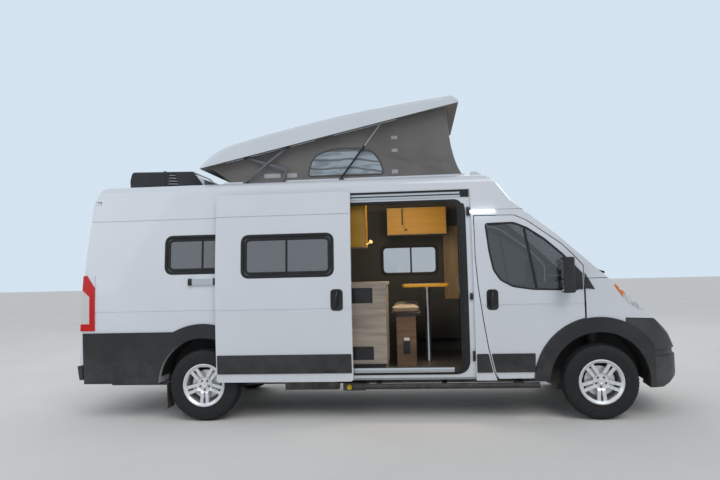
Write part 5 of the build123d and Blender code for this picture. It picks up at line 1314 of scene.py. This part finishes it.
# %% Cooler
COOLER_HALF = 0.345
half_seam = np.array([(-2.474, -0.347, 2.540), (-2.478, -0.347, 2.700), (-2.480, -0.300, 2.7515)])
seam = np.vstack([half_seam, (-2.480, 0.0, 2.7535), half_seam[::-1] * (1.0, -1.0, 1.0)])
half_out = np.array([(0.0, -1.0, 0.0), (0.0, -1.0, 0.1), (0.0, -0.4, 1.0)])
seam_out = np.vstack([half_out, UP, half_out[::-1] * (1.0, -1.0, 1.0)])
joint = sweep(seam, seam_out, mirrored([(-0.012, -0.004), (-0.010, 0.003)]), closed=False)
piece("cooler_joint", joint, gloss_black, "van", 60.0)
LOUVRE = [(-0.0035, -0.012), (0.0035, -0.012), (0.002, 0.006), (-0.002, 0.006)]
WEDGE = [(-1.984, 2.478), (-1.868, 2.478), (-1.976, 2.634), (-1.984, 2.634)]
louvres, wedges = [], []
for side in (PASSENGER, DRIVER):
    outward = (0.0, side, 0.0)
    for index in range(5):
        x = np.linspace(-2.420 + 0.004 * index, -2.290 - 0.010 * index, 10)
        z = 2.560 + 0.034 * index - 0.006 * np.linspace(0.0, 1.0, 10) ** 2
        path = in_plane(np.stack([x, z], axis=1), Y, side * (COOLER_HALF - 0.004))
        louvres.append(sweep(path, outward, LOUVRE, closed=False))
    # The dark wedge: painted shade in the gap below the fairing's slanted edge.
    wedge = in_plane(outline(WEDGE, 0.004, 4, 3), Y, side * 0.6402)
    wedges.append(plate(wedge, outward, [(1.0, 0.0), (1.0, 0.006), (0.97, 0.008)]))
piece("cooler_fins", together(louvres), white_gel)
piece("fairing_gap_shade", together(wedges), gloss_black)

# %% [markdown]
# ## Lamps in front
# The headlamp's lens wraps round the corner of the van. Its side is laid over the fender as a thin plate,
# placed by rays cast across the van, because only the solids know where the surface is.


# %% Headlamp sides
def lens_side(x, z, side):
    """The outermost place of fender and lens on a line across the van."""
    start, way = Vector((x, side * 3.0, z)), Vector((0.0, -side, 0.0))
    found = [nodes[name].ray_cast(start, way) for name in ("fenders", "headlamps")]
    return max((np.array(place) for hit, place, *_ in found if hit), key=lambda place: abs(place[Y]))


LENS_LOW = [
    (2.405, 1.320), (2.424, 1.290), (2.461, 1.213), (2.536, 1.136),
    (2.623, 1.083), (2.701, 1.058), (2.755, 1.034),
]
LENS_HIGH = [(2.40, 1.350), (2.48, 1.282), (2.56, 1.212), (2.64, 1.142), (2.72, 1.070), (2.76, 1.036)]
COLUMNS, ROWS = 30, 8
lens_x = np.linspace(2.405, 2.755, COLUMNS)
low_z, high_z = (np.interp(lens_x, *zip(*line)) for line in (LENS_LOW, LENS_HIGH))
lens_z = low_z + np.linspace(0.0, 1.0, ROWS)[:, None] * (high_z - low_z)
ends = np.minimum(1.0, 6.0 * np.minimum(np.linspace(0, 1, COLUMNS), np.linspace(1, 0, COLUMNS)))
rise = 0.001 + 0.005 * np.minimum(1.0, np.linspace(0, 5, ROWS))[:, None] * ends
for side, side_name in SIDES:
    back = np.array([[lens_side(x, z, side) for x, z in zip(lens_x, row)] for row in lens_z])
    front = back.copy()
    front[..., Y] += side * rise
    back[..., Y] -= side * 0.001
    rows = 2 * ROWS
    faces = quads(rows, COLUMNS, True, False)
    faces += [[row * COLUMNS + end for row in range(rows)] for end in (0, COLUMNS - 1)]
    shape = np.concatenate([front, back[::-1]]).reshape(-1, 3), faces
    piece(f"headlamp_side_{side_name}", shape, headlamp)

# %% [markdown]
# ## Floor and light
# A studio for a van is a pale floor, a pale wall all round, one broad sun as the key and two very large
# soft lamps. The wall is the world's colour, seen at full strength by the camera and by reflections, and
# weaker as a light. Three small warm lamps stand for those under the lockers.


# %% Studio
def floor(reach):
    """The pale floor: one square."""
    mesh = bpy.data.meshes.new("studio_floor")
    mesh.from_pydata(in_plane(oblong(-reach, reach, -reach, reach), Z, 0.0).tolist(), [], [(0, 1, 2, 3)])
    ground = Finish("studio_ground", (0.62, 0.61, 0.59), 0.75)
    tone = ground.noise(0.6, 3.0).ramp(0.3, 0.7)
    ground.set("Base Color", ground.mix(tone, (0.80, 0.785, 0.76), (0.765, 0.75, 0.725)))
    mesh.materials.append(ground.material)
    linked("studio_floor", mesh)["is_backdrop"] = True


def sky(lit, strength, seen):
    """The world: one colour as a light, and another as rays from the lens and in mirrors see it."""
    world = bpy.data.worlds.new("studio_world")
    bpy.context.scene.world = world
    world.use_nodes = True
    tree = world.node_tree
    tree.nodes.clear()
    output, light, view, mixed, path = (
        tree.nodes.new(f"ShaderNode{kind}")
        for kind in ("OutputWorld", "Background", "Background", "MixShader", "LightPath")
    )
    light.inputs["Color"].default_value = (*lit, 1.0)
    light.inputs["Strength"].default_value = strength
    view.inputs["Color"].default_value = (*seen, 1.0)
    share = path.outputs["Is Camera Ray"]
    for kind in ("Glossy", "Transmission"):
        either = tree.nodes.new("ShaderNodeMath")
        either.operation = "MAXIMUM"
        tree.links.new(share, either.inputs[0])
        tree.links.new(path.outputs[f"Is {kind} Ray"], either.inputs[1])
        share = either.outputs[0]
    for source, socket in zip((share, light.outputs[0], view.outputs[0]), mixed.inputs):
        tree.links.new(source, socket)
    tree.links.new(mixed.outputs[0], output.inputs["Surface"])


def lamp(name, kind, power, color, place, way):
    """A lamp at a place that shines one way."""
    data = bpy.data.lights.new(name, kind)
    data.energy = power
    data.color = color
    made = bpy.data.objects.new(name, data)
    bpy.context.scene.collection.objects.link(made)
    aim = Vector(way).to_track_quat("-Z", "Y").to_matrix().to_4x4()
    made.matrix_world = Matrix.Translation(place) @ aim
    return data


floor(60.0)
sky((0.86, 0.92, 1.0), 0.46, (0.66, 0.77, 0.87))
key = lamp("key", "SUN", 0.95, (1.0, 0.985, 0.96), (0.0, 0.0, 0.0), (-3.5, 7.5, -8.0))
key.angle = math.radians(38.0)
AREA_LAMPS = [
    ("fill", 7.0, 130.0, (0.88, 0.94, 1.0), (-8.0, -6.0, 5.0), (0.0, 0.0, 1.0)),
    ("back", 8.0, 200.0, (1.0, 0.95, 0.88), (0.0, 9.0, 7.0), (0.0, 0.0, 1.5)),
    ("cabin_far", 0.4, 5.0, (1.0, 0.80, 0.55), (0.20, -0.45, 2.30), (0.50, 0.80, 1.2)),
    ("cabin_near", 0.3, 3.0, (1.0, 0.76, 0.45), (0.10, -0.80, 2.22), (0.45, 0.45, 2.05)),
    ("cabin_foot", 0.4, 7.0, (1.0, 0.84, 0.64), (0.60, -0.70, 1.90), (0.45, 0.30, 0.6)),
]
for name, size, power, color, place, target in AREA_LAMPS:
    lamp(name, "AREA", power, color, place, np.subtract(target, place)).size = size
bpy.context.scene.view_settings.view_transform = "Standard"
print("lamps:", len(bpy.data.lights))

# %% [markdown]
# ## Sizes
# The boxes of the rigid van and of the dressed one are both put in one table. The dressed
# van has to fill the same box as the rigid one.

# %% Sizes and end
sizes = {"cad": [list(corner) for corner in cad_bounds], "visual": [list(corner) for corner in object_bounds()]}
